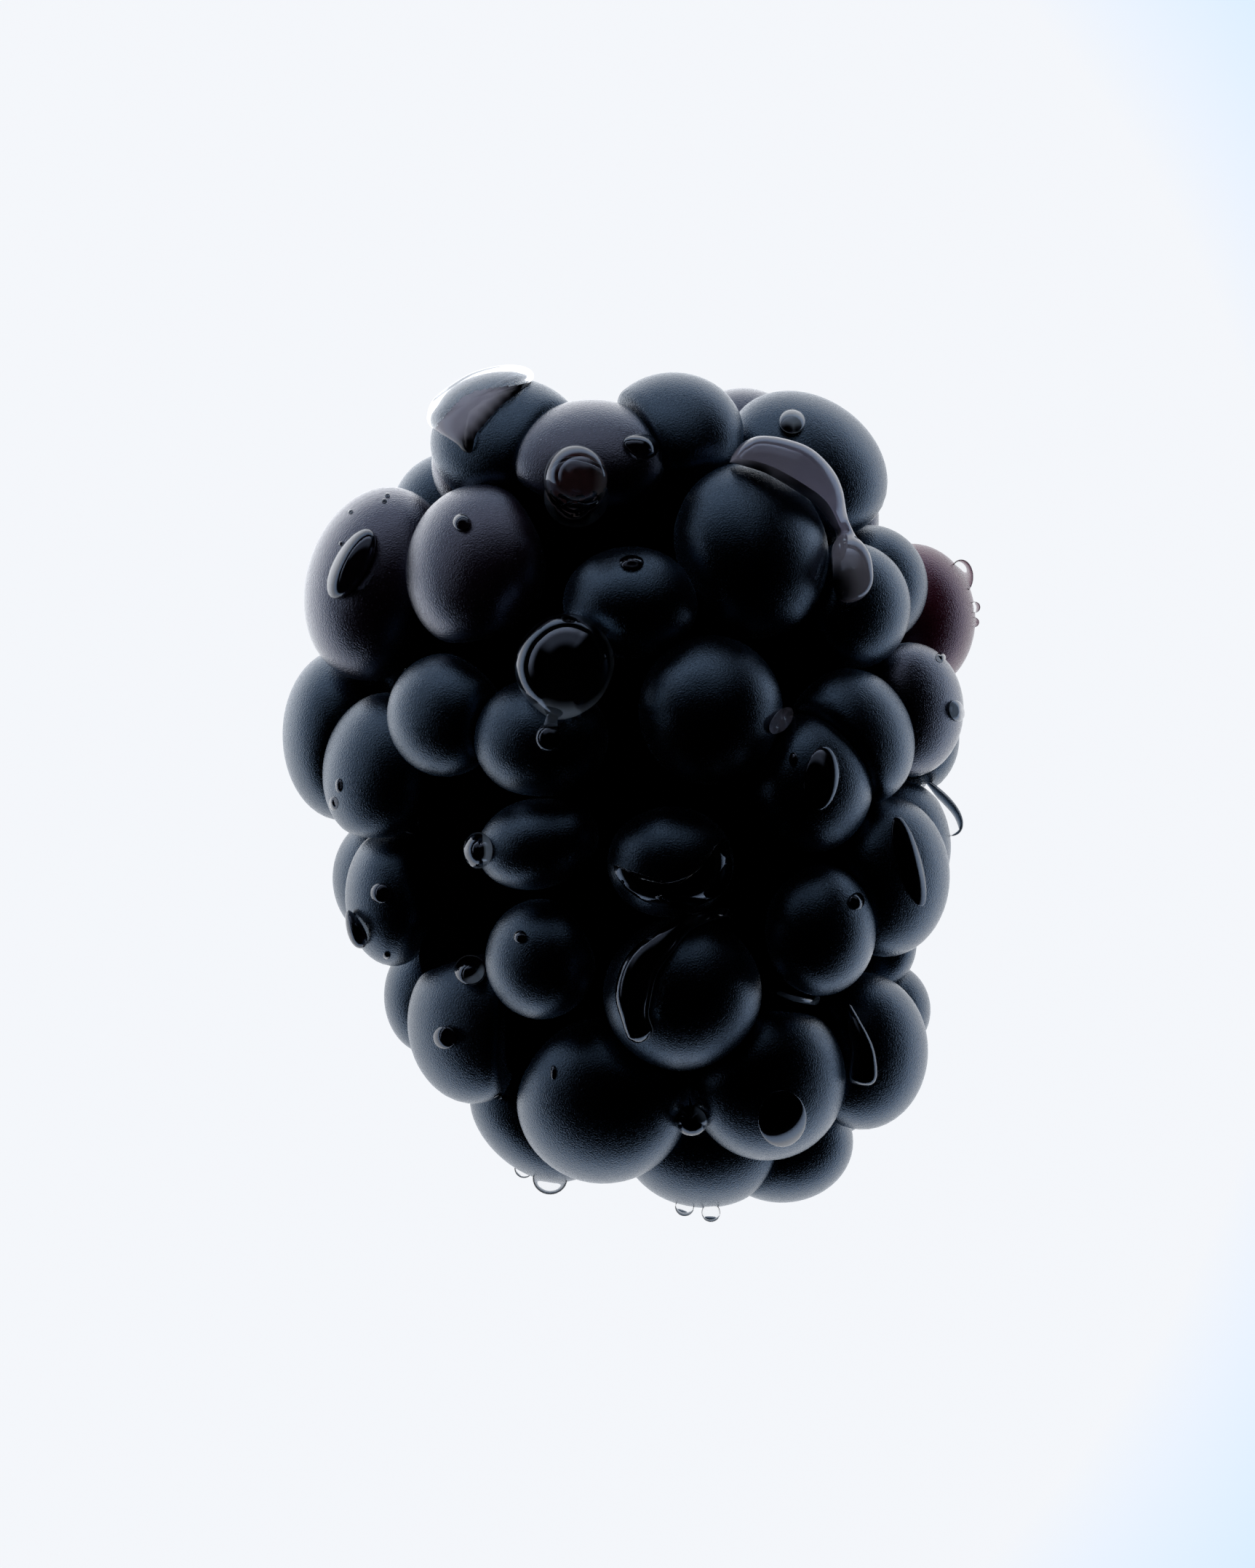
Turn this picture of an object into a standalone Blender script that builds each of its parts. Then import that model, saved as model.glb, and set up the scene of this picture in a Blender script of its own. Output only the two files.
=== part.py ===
"""Bramble berry: one ripe, picked fruit lying on its side, wet with drops of water.

The long axis of the berry runs along Y, the broad stem end towards +Y and the
narrower tip towards -Y.  It lies on the drupelets of its underside, and the
ground plane is Z = 0.  Sizes in the lists are millimetres.
"""
import math

import bmesh
import bpy
from mathutils import Matrix, Vector

for old in list(bpy.data.objects):
    bpy.data.objects.remove(old, do_unlink=True)

# ---------------------------------------------------------------- driving sizes
MM = 0.001
ENVELOPE_RADIUS = 9.6      # drupelet centres stand this far from the axis where widest
WIDEST_ALONG = 2.5         # place along the axis of the widest ring
SHOULDER_REACH = 12.0      # from the widest ring to the stem end of the envelope
TIP_REACH = 15.3           # from the widest ring to the tip of the envelope
SHOULDER_POWER = 2.0       # roundness of the two ends of the envelope
TIP_POWER = 2.2
AXIS_OFFSET = 0.8          # the berry's own axis leans a little: across = offset + lean * along
AXIS_LEAN = -0.07
REST_DEPTH = 11.3          # the pressed flats of the underside lie this far below the axis
DEPTH_RATIO = 1.04         # depth of a drupelet against the mean of its two seen half sizes
CORE_SINK = 1.4            # the flesh between drupelets lies this far inside their centres
CORE_TOP = 11.6            # where the receptacle ends at the stem end
CORE_STATIONS = 11
CORE_SIDES = 22
SCAR_RADIUS = 2.3          # hollow left in the receptacle where the stem let go
SCAR_DEPTH = 1.5
WATER_GAP = 0.05           # water stands this far off the skin, so that bodies never share space
UPPER_FACETS = (12, 7)     # segments and rings of a drupelet of the upper side
UNDER_FACETS = (10, 6)     # and of one on the underside
BEAD_FACETS = (10, 6)
RUN_STEPS = 2              # stations of a run of water between two of its listed points

# Drupelets of the upper side and of the two flanks:
# name, across, along, half width, half length, lean in degrees, height
# (height None: the centre stands on the envelope; a number: millimetres above the axis)
UPPER_DRUPELETS = [
    ("crown_left", -4.4, 11.9, 2.6, 2.25, 0, None),
    ("crown_brow", -1.25, 11.3, 2.9, 2.05, 0, None),
    ("crown_middle", 1.5, 12.2, 2.4, 2.1, 0, None),
    ("crown_hidden", 3.9, 12.0, 2.1, 1.9, 0, -1.5),
    ("crown_right", 6.1, 11.2, 2.95, 2.3, -35, None),
    ("left_shoulder_low", -6.1, 9.6, 2.1, 2.1, 0, -2.5),
    ("left_shoulder", -8.6, 7.1, 2.5, 3.4, -15, 0.0),
    ("left_cheek", -5.2, 7.65, 2.4, 2.85, -10, None),
    ("left_rim", -9.9, 1.75, 2.05, 2.8, 0, 0.0),
    ("left_side", -8.5, 0.8, 2.0, 2.6, -10, None),
    ("left_inner", -6.25, 2.6, 2.0, 2.1, 0, None),
    ("left_waist_low", -8.25, -3.0, 2.0, 2.25, 0, -3.0),
    ("left_waist", -8.05, -3.6, 1.7, 2.4, 0, 1.5),
    ("left_hip_low", -6.9, -7.05, 1.55, 2.0, 0, -1.5),
    ("left_hip", -5.4, -8.0, 2.2, 2.7, 5, None),
    ("centre_left", -3.0, 1.8, 2.3, 2.05, 0, None),
    ("centre_left_small", -3.1, -1.75, 2.1, 1.55, 15, None),
    ("centre", 1.4, -2.4, 2.15, 1.9, 0, None),
    ("centre_right", 2.75, 2.75, 2.45, 2.55, 0, None),
    ("upper_middle", 0.05, 6.4, 2.3, 1.9, 0, None),
    ("upper_right", 4.0, 8.2, 2.45, 2.95, 15, None),
    ("belly", 1.8, -6.85, 2.7, 2.65, 0, None),
    ("belly_left", -3.0, -5.7, 1.9, 2.05, 0, None),
    ("foot_left", -0.9, -10.55, 2.95, 2.85, 0, None),
    ("foot_right", 4.7, -9.8, 2.7, 2.8, 0, None),
    ("right_cheek", 7.5, 6.3, 2.1, 2.2, 0, None),
    ("right_shoulder", 8.2, 7.05, 2.05, 2.1, 0, 1.2),
    ("right_shoulder_low", 9.75, 5.95, 2.2, 2.6, 0, -2.6),
    ("right_rim", 9.6, 2.8, 1.85, 2.3, 0, None),
    ("right_side", 7.6, 1.9, 2.05, 2.45, 25, None),
    ("right_inner", 6.2, 0.3, 2.1, 2.4, 0, None),
    ("right_waist", 8.75, -2.9, 2.2, 2.75, 0, None),
    ("right_waist_low", 9.0, -1.9, 2.05, 2.5, 0, 0.5),
    ("right_belly", 6.5, -4.7, 1.85, 2.2, 0, None),
    ("right_hip", 8.0, -8.9, 2.25, 2.7, 0, None),
    ("right_hip_low", 8.6, -7.55, 1.8, 1.75, 0, -2.5),
    ("tip", 2.6, -11.8, 2.9, 2.5, 0, 1.5),
    ("tip_right", 5.25, -12.05, 2.45, 2.1, 0, -1.0),
    ("tip_left", -3.25, -11.35, 2.55, 1.7, -40, 0.0),
]

# Drupelets nobody sees from above: same order, height counted downwards from the axis.
UNDER_DRUPELETS = [
    ("under_crown_rim", -4.7, 11.2, 2.1, 2.0, 0, 0.0),
    ("under_crown_left", -3.6, 10.8, 2.3, 2.1, 10, 5.3),
    ("under_crown_middle", 0.3, 10.9, 2.3, 2.0, 0, 6.1),
    ("under_crown_right", 4.2, 10.6, 2.3, 2.2, -10, 5.3),
    ("under_shoulder_right", 7.2, 9.6, 2.2, 2.3, -20, 2.8),
    ("under_upper_a", -7.4, 6.3, 2.2, 2.4, 0, None),
    ("under_upper_b", -4.0, 6.9, 2.3, 2.35, 0, None),
    ("under_upper_c", 0.2, 6.7, 2.35, 2.4, 0, None),
    ("under_upper_d", 4.4, 7.0, 2.35, 2.3, 0, None),
    ("under_upper_e", 7.4, 7.1, 2.1, 2.3, 0, None),
    ("under_waist_a", -7.9, 2.0, 2.2, 2.5, 0, None),
    ("under_waist_b", -5.0, 2.7, 2.25, 2.35, 0, None),
    ("under_waist_c", -1.1, 2.4, 2.4, 2.3, 0, None),
    ("under_waist_d", 3.2, 2.7, 2.4, 2.4, 0, None),
    ("under_waist_e", 6.7, 2.3, 2.2, 2.4, 0, None),
    ("under_waist_f", 8.9, 1.9, 2.1, 2.2, 0, 4.6),
    ("under_waist_g", 9.3, 1.8, 2.05, 2.1, 0, 0.7),
    ("under_middle_a", -6.0, -1.6, 2.3, 2.2, 0, None),
    ("under_middle_b", -2.4, -1.9, 2.4, 2.3, 0, 9.15),
    ("under_middle_c", 1.9, -1.7, 2.4, 2.3, 0, None),
    ("under_middle_d", 6.1, -2.0, 2.3, 2.3, 0, None),
    ("under_middle_e", 8.9, -2.2, 2.1, 2.2, 0, 3.9),
    ("under_belly_a", -5.3, -5.7, 2.2, 2.3, 0, 5.4),
    ("under_belly_b", -1.4, -6.0, 2.4, 2.4, 0, 8.3),
    ("under_belly_c", 2.9, -5.9, 2.4, 2.4, 0, 9.0),
    ("under_belly_d", 6.6, -6.0, 2.3, 2.3, 0, 6.3),
    ("under_belly_e", 8.1, -5.2, 1.8, 1.9, 0, 1.6),
    ("under_foot_a", -4.2, -9.0, 2.2, 2.2, 0, 3.8),
    ("under_foot_b", -0.4, -9.7, 2.3, 2.3, 0, 6.0),
    ("under_foot_c", 3.7, -9.5, 2.3, 2.3, 0, 6.0),
    ("under_foot_d", 6.7, -9.9, 2.1, 2.1, 0, 3.9),
    ("under_tip_left", -0.2, -11.3, 2.2, 1.9, 0, 2.3),
    ("under_tip_right", 3.0, -11.8, 2.2, 2.1, 0, 3.6),
]

# Round beads of water: name, across, along, half width, half length, lean in degrees, height
# (height None: the bead sits on the skin; a number: its centre above the axis)
BEADS = [
    ("water_drop_brow_oval", -1.75, 10.48, 1.1, 1.38, 0, None),
    ("water_bead_brow", 0.45, 11.78, 0.55, 0.45, -20, None),
    ("water_bead_crown_right", 5.6, 12.7, 0.48, 0.43, 0, None),
    ("water_bead_left_cheek", -5.65, 9.15, 0.32, 0.32, 0, None),
    ("water_drop_left_shoulder", -9.35, 7.85, 0.6, 1.3, -30, None),
    ("water_bead_upper_middle", 0.12, 7.8, 0.42, 0.28, 0, None),
    ("water_bead_right_shoulder", 11.4, 7.4, 0.55, 0.6, 0, -2.4),
    ("water_drop_right_inner", 6.55, 0.5, 0.53, 1.05, 10, None),
    ("water_drop_right_waist", 9.35, -2.35, 0.7, 1.55, 15, None),
    ("water_bead_left_waist", -8.4, -3.4, 0.34, 0.34, 0, None),
    ("water_bead_left_waist_edge", -9.4, -4.7, 0.28, 0.7, 5, 1.0),
    ("water_bead_centre_left", -5.0, -1.95, 0.5, 0.6, 0, 8.0),
    ("water_bead_left_hip_top", -5.35, -6.05, 0.55, 0.55, 0, None),
    ("water_bead_left_hip", -6.25, -8.3, 0.36, 0.36, 0, None),
    ("water_bead_foot_gap", 2.2, -11.15, 0.53, 0.53, 0, None),
    ("water_drop_foot_right", 5.25, -11.05, 0.83, 0.98, 0, None),
    ("water_bead_tip_left_a", -3.55, -13.0, 0.32, 0.3, 0, 0.6),
    ("water_bead_tip_left_b", -2.6, -13.25, 0.62, 0.5, 0, 2.4),
    ("water_bead_tip_a", 1.95, -14.15, 0.36, 0.34, 0, 1.7),
    ("water_bead_tip_b", 2.85, -14.3, 0.36, 0.36, 0, 1.7),
    ("water_film_centre", 1.55, -3.2, 1.7, 1.0, 0, None),
]

# Runs of water: name, then the points it passes: across, along, half width, height
# (height None: the run lies on the skin there, and bridges a crevice)
RUNS = [
    ("water_sheet_crown", [(-6.6, 12.75, 0.45, 4.9), (-5.8, 13.15, 0.85, 5.4),
                           (-4.9, 13.6, 0.9, 5.3), (-4.1, 14.05, 0.5, 4.7),
                           (-3.6, 14.3, 0.25, 4.2)]),
    ("water_run_shoulder", [(3.7, 11.35, 0.55, None), (4.7, 11.0, 0.8, None),
                            (5.8, 10.6, 0.95, None), (6.4, 9.65, 0.6, None),
                            (6.9, 8.65, 0.42, None), (7.4, 7.7, 0.6, None),
                            (7.5, 7.05, 0.7, None)]),
    ("water_drop_centre_left", [(-2.05, 5.55, 0.85, 9.1), (-2.1, 5.1, 1.3, 9.3),
                                (-2.15, 4.6, 1.55, 9.5), (-2.2, 4.0, 1.55, 9.8),
                                (-2.3, 3.4, 1.15, 10.2), (-2.4, 2.95, 0.6, 10.6),
                                (-2.5, 2.5, 0.4, 10.9), (-2.6, 2.0, 0.45, 11.15)]),
    ("water_run_right_rim", [(10.1, 0.35, 0.3, None), (10.6, -0.4, 0.35, None),
                             (11.1, -1.2, 0.35, None)]),
    ("water_run_belly", [(3.0, -4.75, 0.32, None), (2.1, -4.55, 0.45, None),
                         (1.1, -5.05, 0.5, None), (0.35, -6.1, 0.5, None),
                         (0.1, -7.0, 0.42, None), (0.4, -7.8, 0.45, None),
                         (0.85, -8.35, 0.5, None)]),
    ("water_run_right_hip", [(7.45, -7.6, 0.22, None), (7.9, -8.5, 0.4, None),
                             (7.9, -9.4, 0.55, None)]),
]


# ---------------------------------------------------------------- rules of the berry
def axis_across(along):
    """Where the berry's own axis stands, across, at this place along it."""
    return AXIS_OFFSET + AXIS_LEAN * along


def envelope_radius(along):
    """Distance of the drupelet centres from the axis at this place along it."""
    if along > WIDEST_ALONG:
        reach, power = SHOULDER_REACH, SHOULDER_POWER
    else:
        reach, power = TIP_REACH, TIP_POWER
    u = min(1.0, abs(along - WIDEST_ALONG) / reach)
    return ENVELOPE_RADIUS * (1.0 - u ** power) ** (1.0 / power)


def height_on_envelope(across, along):
    """Height above the axis of a point of the envelope, zero outside it."""
    square = envelope_radius(along) ** 2 - (across - axis_across(along)) ** 2
    return math.sqrt(max(square, 0.0))


def drupelet_rows():
    """Every drupelet as (name, centre, half sizes, lean, facets), heights measured upwards."""
    rows = []
    for side, facets, drupelets in ((1.0, UPPER_FACETS, UPPER_DRUPELETS),
                                    (-1.0, UNDER_FACETS, UNDER_DRUPELETS)):
        for name, across, along, half_w, half_l, lean, height in drupelets:
            if height is None:
                height = height_on_envelope(across, along)
            half_d = DEPTH_RATIO * 0.5 * (half_w + half_l)
            rows.append((name, Vector((across, along, side * height)),
                         Vector((half_w, half_l, half_d)), math.radians(lean), facets))
    return rows


DRUPELETS = drupelet_rows()


def skin_height(across, along):
    """Height above the axis of the topmost skin at this place."""
    tops = []
    for name, centre, half, lean, facets in DRUPELETS:
        away = Matrix.Rotation(-lean, 3, "Z") @ Vector((across - centre.x, along - centre.y, 0.0))
        inside = 1.0 - (away.x / half.x) ** 2 - (away.y / half.y) ** 2
        if inside > 0.0:
            tops.append(centre.z + half.z * math.sqrt(inside))
    return max(tops) if tops else height_on_envelope(across, along) - CORE_SINK


def outward(centre):
    """Direction from the berry's middle line out through a drupelet."""
    along = max(-7.0, min(7.0, centre.y * 0.75))
    return Vector((centre.x - axis_across(along), centre.y - along, centre.z))


# ---------------------------------------------------------------- makers
def new_collection(name):
    """A collection of the scene."""
    made = bpy.data.collections.new(name)
    bpy.context.scene.collection.children.link(made)
    return made


def new_material(name, colour, roughness, transmission=0.0):
    """A Principled material."""
    made = bpy.data.materials.new(name)
    made.use_nodes = True
    node = made.node_tree.nodes["Principled BSDF"]
    node.inputs["Base Color"].default_value = (*colour, 1.0)
    node.inputs["Roughness"].default_value = roughness
    node.inputs["Metallic"].default_value = 0.0
    node.inputs["Transmission Weight"].default_value = transmission
    made.diffuse_color = (*colour, 1.0)
    return made


def new_object(name, data, home):
    """An object of a collection, carried by the berry's axis."""
    made = bpy.data.objects.new(name, data)
    home.objects.link(made)
    made.parent = BERRY_AXIS
    return made


def as_tool(obj):
    """Mark a body as a tool of the construction."""
    obj.hide_render = True
    obj.display_type = "WIRE"
    return obj


def ball(name, home, centre, half, lean, pole, facets):
    """A ball stretched to its three half sizes, turned by its lean about the upright.

    The ball's pole points along the given direction once it is stretched.
    """
    local = Matrix.Rotation(-lean, 3, "Z") @ pole
    local = Vector((local.x / half.x, local.y / half.y, local.z / half.z))
    turn = Vector((0.0, 0.0, 1.0)).rotation_difference(local).to_matrix().to_4x4()
    work = bmesh.new()
    bmesh.ops.create_uvsphere(work, u_segments=facets[0], v_segments=facets[1], radius=1.0,
                              matrix=turn)
    data = bpy.data.meshes.new(name)
    work.to_mesh(data)
    work.free()
    data.shade_smooth()
    made = new_object(name, data, home)
    made.location = centre * MM
    made.rotation_euler = (0.0, 0.0, lean)
    made.scale = half * MM
    return made


def flesh_core(name, home, sink):
    """The flesh inside the drupelets: a profile turned about the berry's own axis."""
    low, high = WIDEST_ALONG - TIP_REACH + sink, CORE_TOP
    work = bmesh.new()
    row = []
    for k in range(CORE_STATIONS):
        along = high + (low - high) * k / (CORE_STATIONS - 1)
        radius = 0.0 if k == CORE_STATIONS - 1 else max(envelope_radius(along) - sink, 1.0)
        row.append(work.verts.new(Vector((radius, along, 0.0)) * MM))
    row.insert(0, work.verts.new(Vector((0.0, high, 0.0)) * MM))
    for a, b in zip(row, row[1:]):
        work.edges.new((a, b))
    data = bpy.data.meshes.new(name)
    work.to_mesh(data)
    work.free()
    made = new_object(name, data, home)
    made.location = (AXIS_OFFSET * MM, 0.0, 0.0)
    made.rotation_euler = (0.0, 0.0, math.atan(-AXIS_LEAN))
    turn = made.modifiers.new("turned_profile", "SCREW")
    turn.axis = "Y"
    turn.angle = 2.0 * math.pi
    turn.steps = turn.render_steps = CORE_SIDES
    turn.use_merge_vertices = True
    turn.merge_threshold = 0.00001
    turn.use_normal_calculate = True
    return made


def boolean(target, operation, operand, name):
    """An exact Boolean step with one object or with a whole collection."""
    step = target.modifiers.new(name, "BOOLEAN")
    step.operation = operation
    step.solver = "EXACT"
    if isinstance(operand, bpy.types.Collection):
        step.operand_type = "COLLECTION"
        step.collection = operand
    else:
        step.object = operand
    return step


def fill_with_drupelets(home, swell):
    """One ball per drupelet, each swollen by the given clearance."""
    for name, centre, half, lean, facets in DRUPELETS:
        as_tool(ball("drupelet_" + name, home, centre, half + Vector((swell, swell, swell)), lean,
                     outward(centre), facets))


def bead_body(row, home):
    """A rounded bead of water sitting on the skin."""
    name, across, along, half_w, half_l, lean, height = row
    if height is None:
        height = skin_height(across, along)
    half = Vector((half_w, half_l, 0.45 * (half_w + half_l)))
    return ball(name, home, Vector((across, along, height)), half, math.radians(lean),
                Vector((0.0, 0.0, 1.0)), BEAD_FACETS)


def run_stations(points):
    """Points along a run of water, laid on the skin, with their half widths."""
    rows = []
    for first, second in zip(points, points[1:]):
        for j in range(RUN_STEPS):
            t = j / RUN_STEPS
            rows.append([None if p is None else p + (q - p) * t for p, q in zip(first, second)])
    rows.append(list(points[-1]))
    heights = [skin_height(row[0], row[1]) if row[3] is None else row[3] for row in rows]
    for sweep in range(4):
        inner = [max(b, 0.5 * (a + c)) for a, b, c in zip(heights, heights[1:], heights[2:])]
        heights = [heights[0]] + inner + [heights[-1]]
    stations = [(Vector((row[0], row[1], height)), row[2]) for row, height in zip(rows, heights)]
    for end, near in ((0, 1), (-1, -2)):
        away = (stations[end][0] - stations[near][0]).normalized()
        tip = (stations[end][0] + away * stations[end][1] * 0.75, stations[end][1] * 0.5)
        stations.insert(0 if end == 0 else len(stations), tip)
    return stations


def run_body(name, points, home):
    """A run of water: a tube of changing thickness, made a mesh so that it can be cut."""
    stations = run_stations(points)
    shape = bpy.data.curves.new(name, "CURVE")
    shape.dimensions = "3D"
    shape.bevel_depth = MM
    shape.bevel_resolution = 2
    shape.use_fill_caps = True
    line = shape.splines.new("POLY")
    line.points.add(len(stations) - 1)
    for point, (centre, half) in zip(line.points, stations):
        point.co = (*(centre * MM), 1.0)
        point.radius = half
    guide = new_object(name + "_guide", shape, home)
    bpy.context.view_layer.update()
    evaluated = guide.evaluated_get(bpy.context.evaluated_depsgraph_get())
    data = bpy.data.meshes.new_from_object(evaluated)
    work = bmesh.new()
    work.from_mesh(data)
    bmesh.ops.remove_doubles(work, verts=work.verts, dist=0.000001)
    work.to_mesh(data)
    work.free()
    data.shade_smooth()
    made = new_object(name, data, home)
    bpy.data.objects.remove(guide, do_unlink=True)
    return made


# ---------------------------------------------------------------- the berry
PARTS = new_collection("bramble_berry")
CUTTERS = new_collection("cutters")
FLESH_BALLS = new_collection("flesh_balls")
CLEARANCE_BALLS = new_collection("clearance_balls")

BERRY_AXIS = bpy.data.objects.new("berry_axis", None)
PARTS.objects.link(BERRY_AXIS)
BERRY_AXIS.location = (0.0, 0.0, REST_DEPTH * MM)

fill_with_drupelets(FLESH_BALLS, 0.0)
berry = flesh_core("bramble_berry", PARTS, CORE_SINK)
berry.data.materials.append(new_material("ripe_skin", (0.012, 0.012, 0.022), 0.42))
boolean(berry, "UNION", FLESH_BALLS, "drupelets")

scar_centre = Vector((axis_across(CORE_TOP), CORE_TOP + 0.3, 0.0))
stem_scar = as_tool(ball("stem_scar_cutter", CUTTERS, scar_centre,
                         Vector((SCAR_RADIUS, SCAR_DEPTH, SCAR_RADIUS)), 0.0,
                         Vector((0.0, 1.0, 0.0)), (16, 8)))
boolean(berry, "DIFFERENCE", stem_scar, "stem_scar")

block = bmesh.new()
bmesh.ops.create_cube(block, size=0.04)
block_mesh = bpy.data.meshes.new("ground_cutter")
block.to_mesh(block_mesh)
block.free()
ground = as_tool(new_object("ground_cutter", block_mesh, CUTTERS))
ground.location = (0.0, 0.0, -0.02 - REST_DEPTH * MM)
boolean(berry, "DIFFERENCE", ground, "pressed_flats")

# ---------------------------------------------------------------- the water
fill_with_drupelets(CLEARANCE_BALLS, WATER_GAP)
clearance = as_tool(flesh_core("skin_clearance", CUTTERS, CORE_SINK - WATER_GAP))
boolean(clearance, "UNION", CLEARANCE_BALLS, "swollen_drupelets")

drops = [bead_body(row, PARTS) for row in BEADS]
drops += [run_body(name, points, PARTS) for name, points in RUNS]
for drop in drops:
    boolean(drop, "DIFFERENCE", clearance, "stand_off")
    drop.data.materials.append(new_material(drop.name + "_water", (0.9, 0.95, 1.0), 0.02, 1.0))
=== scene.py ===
"""Bramble berry: the fine skin, the drops of water on it and the studio round it.

Lengths in the tables are millimetres from the middle of the berry's axis, which lies
level: across is +X, along is +Y towards the stem end, height is +Z.
"""

import logging
import math
from dataclasses import dataclass, field
from enum import Enum
from typing import NamedTuple

import bpy
import numpy as np
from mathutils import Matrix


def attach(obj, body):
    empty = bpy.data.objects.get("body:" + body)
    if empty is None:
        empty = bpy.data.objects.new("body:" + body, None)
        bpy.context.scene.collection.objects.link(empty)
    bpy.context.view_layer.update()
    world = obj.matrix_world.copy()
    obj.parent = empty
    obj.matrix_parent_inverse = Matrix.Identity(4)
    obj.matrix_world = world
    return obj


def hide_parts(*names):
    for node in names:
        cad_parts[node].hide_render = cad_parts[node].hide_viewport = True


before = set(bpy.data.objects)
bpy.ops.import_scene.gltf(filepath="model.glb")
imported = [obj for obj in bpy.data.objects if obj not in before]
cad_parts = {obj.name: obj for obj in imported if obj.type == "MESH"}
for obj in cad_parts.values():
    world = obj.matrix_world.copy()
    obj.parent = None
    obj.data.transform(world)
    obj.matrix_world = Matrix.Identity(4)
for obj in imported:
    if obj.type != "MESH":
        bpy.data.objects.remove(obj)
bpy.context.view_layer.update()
LOG = logging.getLogger("bramble_berry")
MM = 0.001
UP = np.array((0.0, 0.0, 1.0))
Array = np.ndarray
Socket = bpy.types.NodeSocket


class Ripeness(Enum):
    """How far a drupelet has ripened: shares of purple and of maroon in its skin."""

    BLACK = (0.0, 0.0)
    DUSKY = (0.35, 0.0)
    TINGED = (0.15, 0.0)
    PURPLE = (1.0, 0.0)
    MAROON = (0.3, 1.0)


@dataclass(frozen=True)
class BerryForm:
    """The envelope that the drupelet centres stand on, round an axis that leans a little.

    Widths and reaches are millimetres.  The berry rests on the table rest_depth below its
    axis, and a drupelet's depth is depth_ratio times the mean of its other two sizes.
    """

    envelope_radius: float = 9.6
    widest_along: float = 2.5
    shoulder_reach: float = 12.0
    tip_reach: float = 15.3
    shoulder_power: float = 2.0
    tip_power: float = 2.2
    axis_offset: float = 0.8
    axis_lean: float = -0.07
    rest_depth: float = 11.3
    depth_ratio: float = 1.04

    def axis_across(self, along: Array) -> Array:
        """Straight line: offset plus lean times the place along the berry."""
        return self.axis_offset + self.axis_lean * np.asarray(along, float)

    def radius(self, along: Array) -> Array:
        """Superellipse radius of the envelope at a place along the berry.

        Args:
            along: places along the berry, any shape.

        Returns:
            envelope radius times (1 - u^p)^(1/p), where u is the distance from the
            widest ring over the reach of that end and p is that end's power.
        """
        y = np.asarray(along, float)
        stem = y > self.widest_along
        reach = np.where(stem, self.shoulder_reach, self.tip_reach)
        power = np.where(stem, self.shoulder_power, self.tip_power)
        u = np.clip(np.abs(y - self.widest_along) / reach, 0.0, 1.0)
        return self.envelope_radius * (1.0 - u ** power) ** (1.0 / power)

    def height(self, across: Array, along: Array) -> Array:
        """Height of the envelope: root of its radius squared less the offset squared.

        Args:
            across: places across the berry.
            along: places along it.

        Returns:
            Heights over the axis, 0 where the place lies outside the envelope.
        """
        square = self.radius(along) ** 2 - (np.asarray(across, float) - self.axis_across(along)) ** 2
        return np.sqrt(np.maximum(square, 0.0))


FORM = BerryForm()
D, P, M, T = Ripeness.DUSKY, Ripeness.PURPLE, Ripeness.MAROON, Ripeness.TINGED


class Drupelet(NamedTuple):
    """One drupelet: its middle and half sizes from above, lean in degrees, height, ripeness.

    Without a height its middle stands on the envelope.
    """

    across: float
    along: float
    half_width: float
    half_length: float
    lean: float = 0.0
    height: float | None = None
    ripeness: Ripeness = Ripeness.BLACK


UPPER_DRUPELETS = [Drupelet(*row) for row in (
    (-4.15, 11.9, 2.65, 2.25), (-1.25, 11.3, 2.9, 2.05, 0, None, D), (1.5, 12.2, 2.4, 2.1),
    (3.9, 12.0, 2.1, 1.9, 0, -1.2, D), (6.1, 11.2, 2.95, 2.3, -35), (-6.1, 9.6, 2.1, 2.1, 0, -2.5),
    (-8.6, 7.1, 2.5, 3.4, -15, 1.3, P), (-5.2, 7.65, 2.4, 2.85, -10, None, P),
    (-9.9, 1.95, 2.05, 2.95, 0, -1.5), (-8.5, 0.8, 2.0, 2.6, -10), (-6.25, 2.6, 2.0, 2.1),
    (-8.25, -3.0, 2.0, 2.25, 0, -3.0), (-8.05, -3.6, 1.7, 2.4, 0, 1.5),
    (-6.9, -7.05, 1.55, 2.0, 0, -1.5), (-5.4, -8.0, 2.2, 2.7, 5, None, T), (-3.0, 1.8, 2.3, 2.05),
    (-3.1, -1.75, 2.1, 1.55, 15), (1.4, -2.4, 2.15, 1.9), (2.75, 2.75, 2.45, 2.55),
    (0.05, 6.4, 2.3, 1.9), (4.15, 8.15, 2.6, 3.1, 22), (1.8, -6.85, 2.7, 2.65),
    (-3.0, -5.7, 1.9, 2.05), (-0.9, -10.55, 2.95, 2.85), (4.7, -9.8, 2.7, 2.8),
    (7.5, 6.3, 2.1, 2.2), (8.2, 7.05, 2.05, 2.1, 0, 1.2), (9.75, 5.95, 2.2, 2.6, 0, -2.6, M),
    (9.6, 2.8, 1.85, 2.3, 0, None, D), (7.6, 1.9, 2.05, 2.45, 25), (6.2, 0.3, 2.1, 2.4),
    (8.75, -2.9, 2.2, 2.75), (9.0, -1.9, 2.05, 2.5, 0, 0.5), (6.5, -4.7, 1.9, 2.25, 0, 7.5),
    (8.0, -8.9, 2.25, 2.7), (8.6, -7.55, 1.8, 1.75, 0, -2.5), (2.6, -11.8, 2.9, 2.5, 0, 1.5),
    (5.25, -12.05, 2.45, 2.1, 0, 0.0), (-3.25, -11.35, 2.55, 1.7, -40, 0.0),
)]
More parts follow.
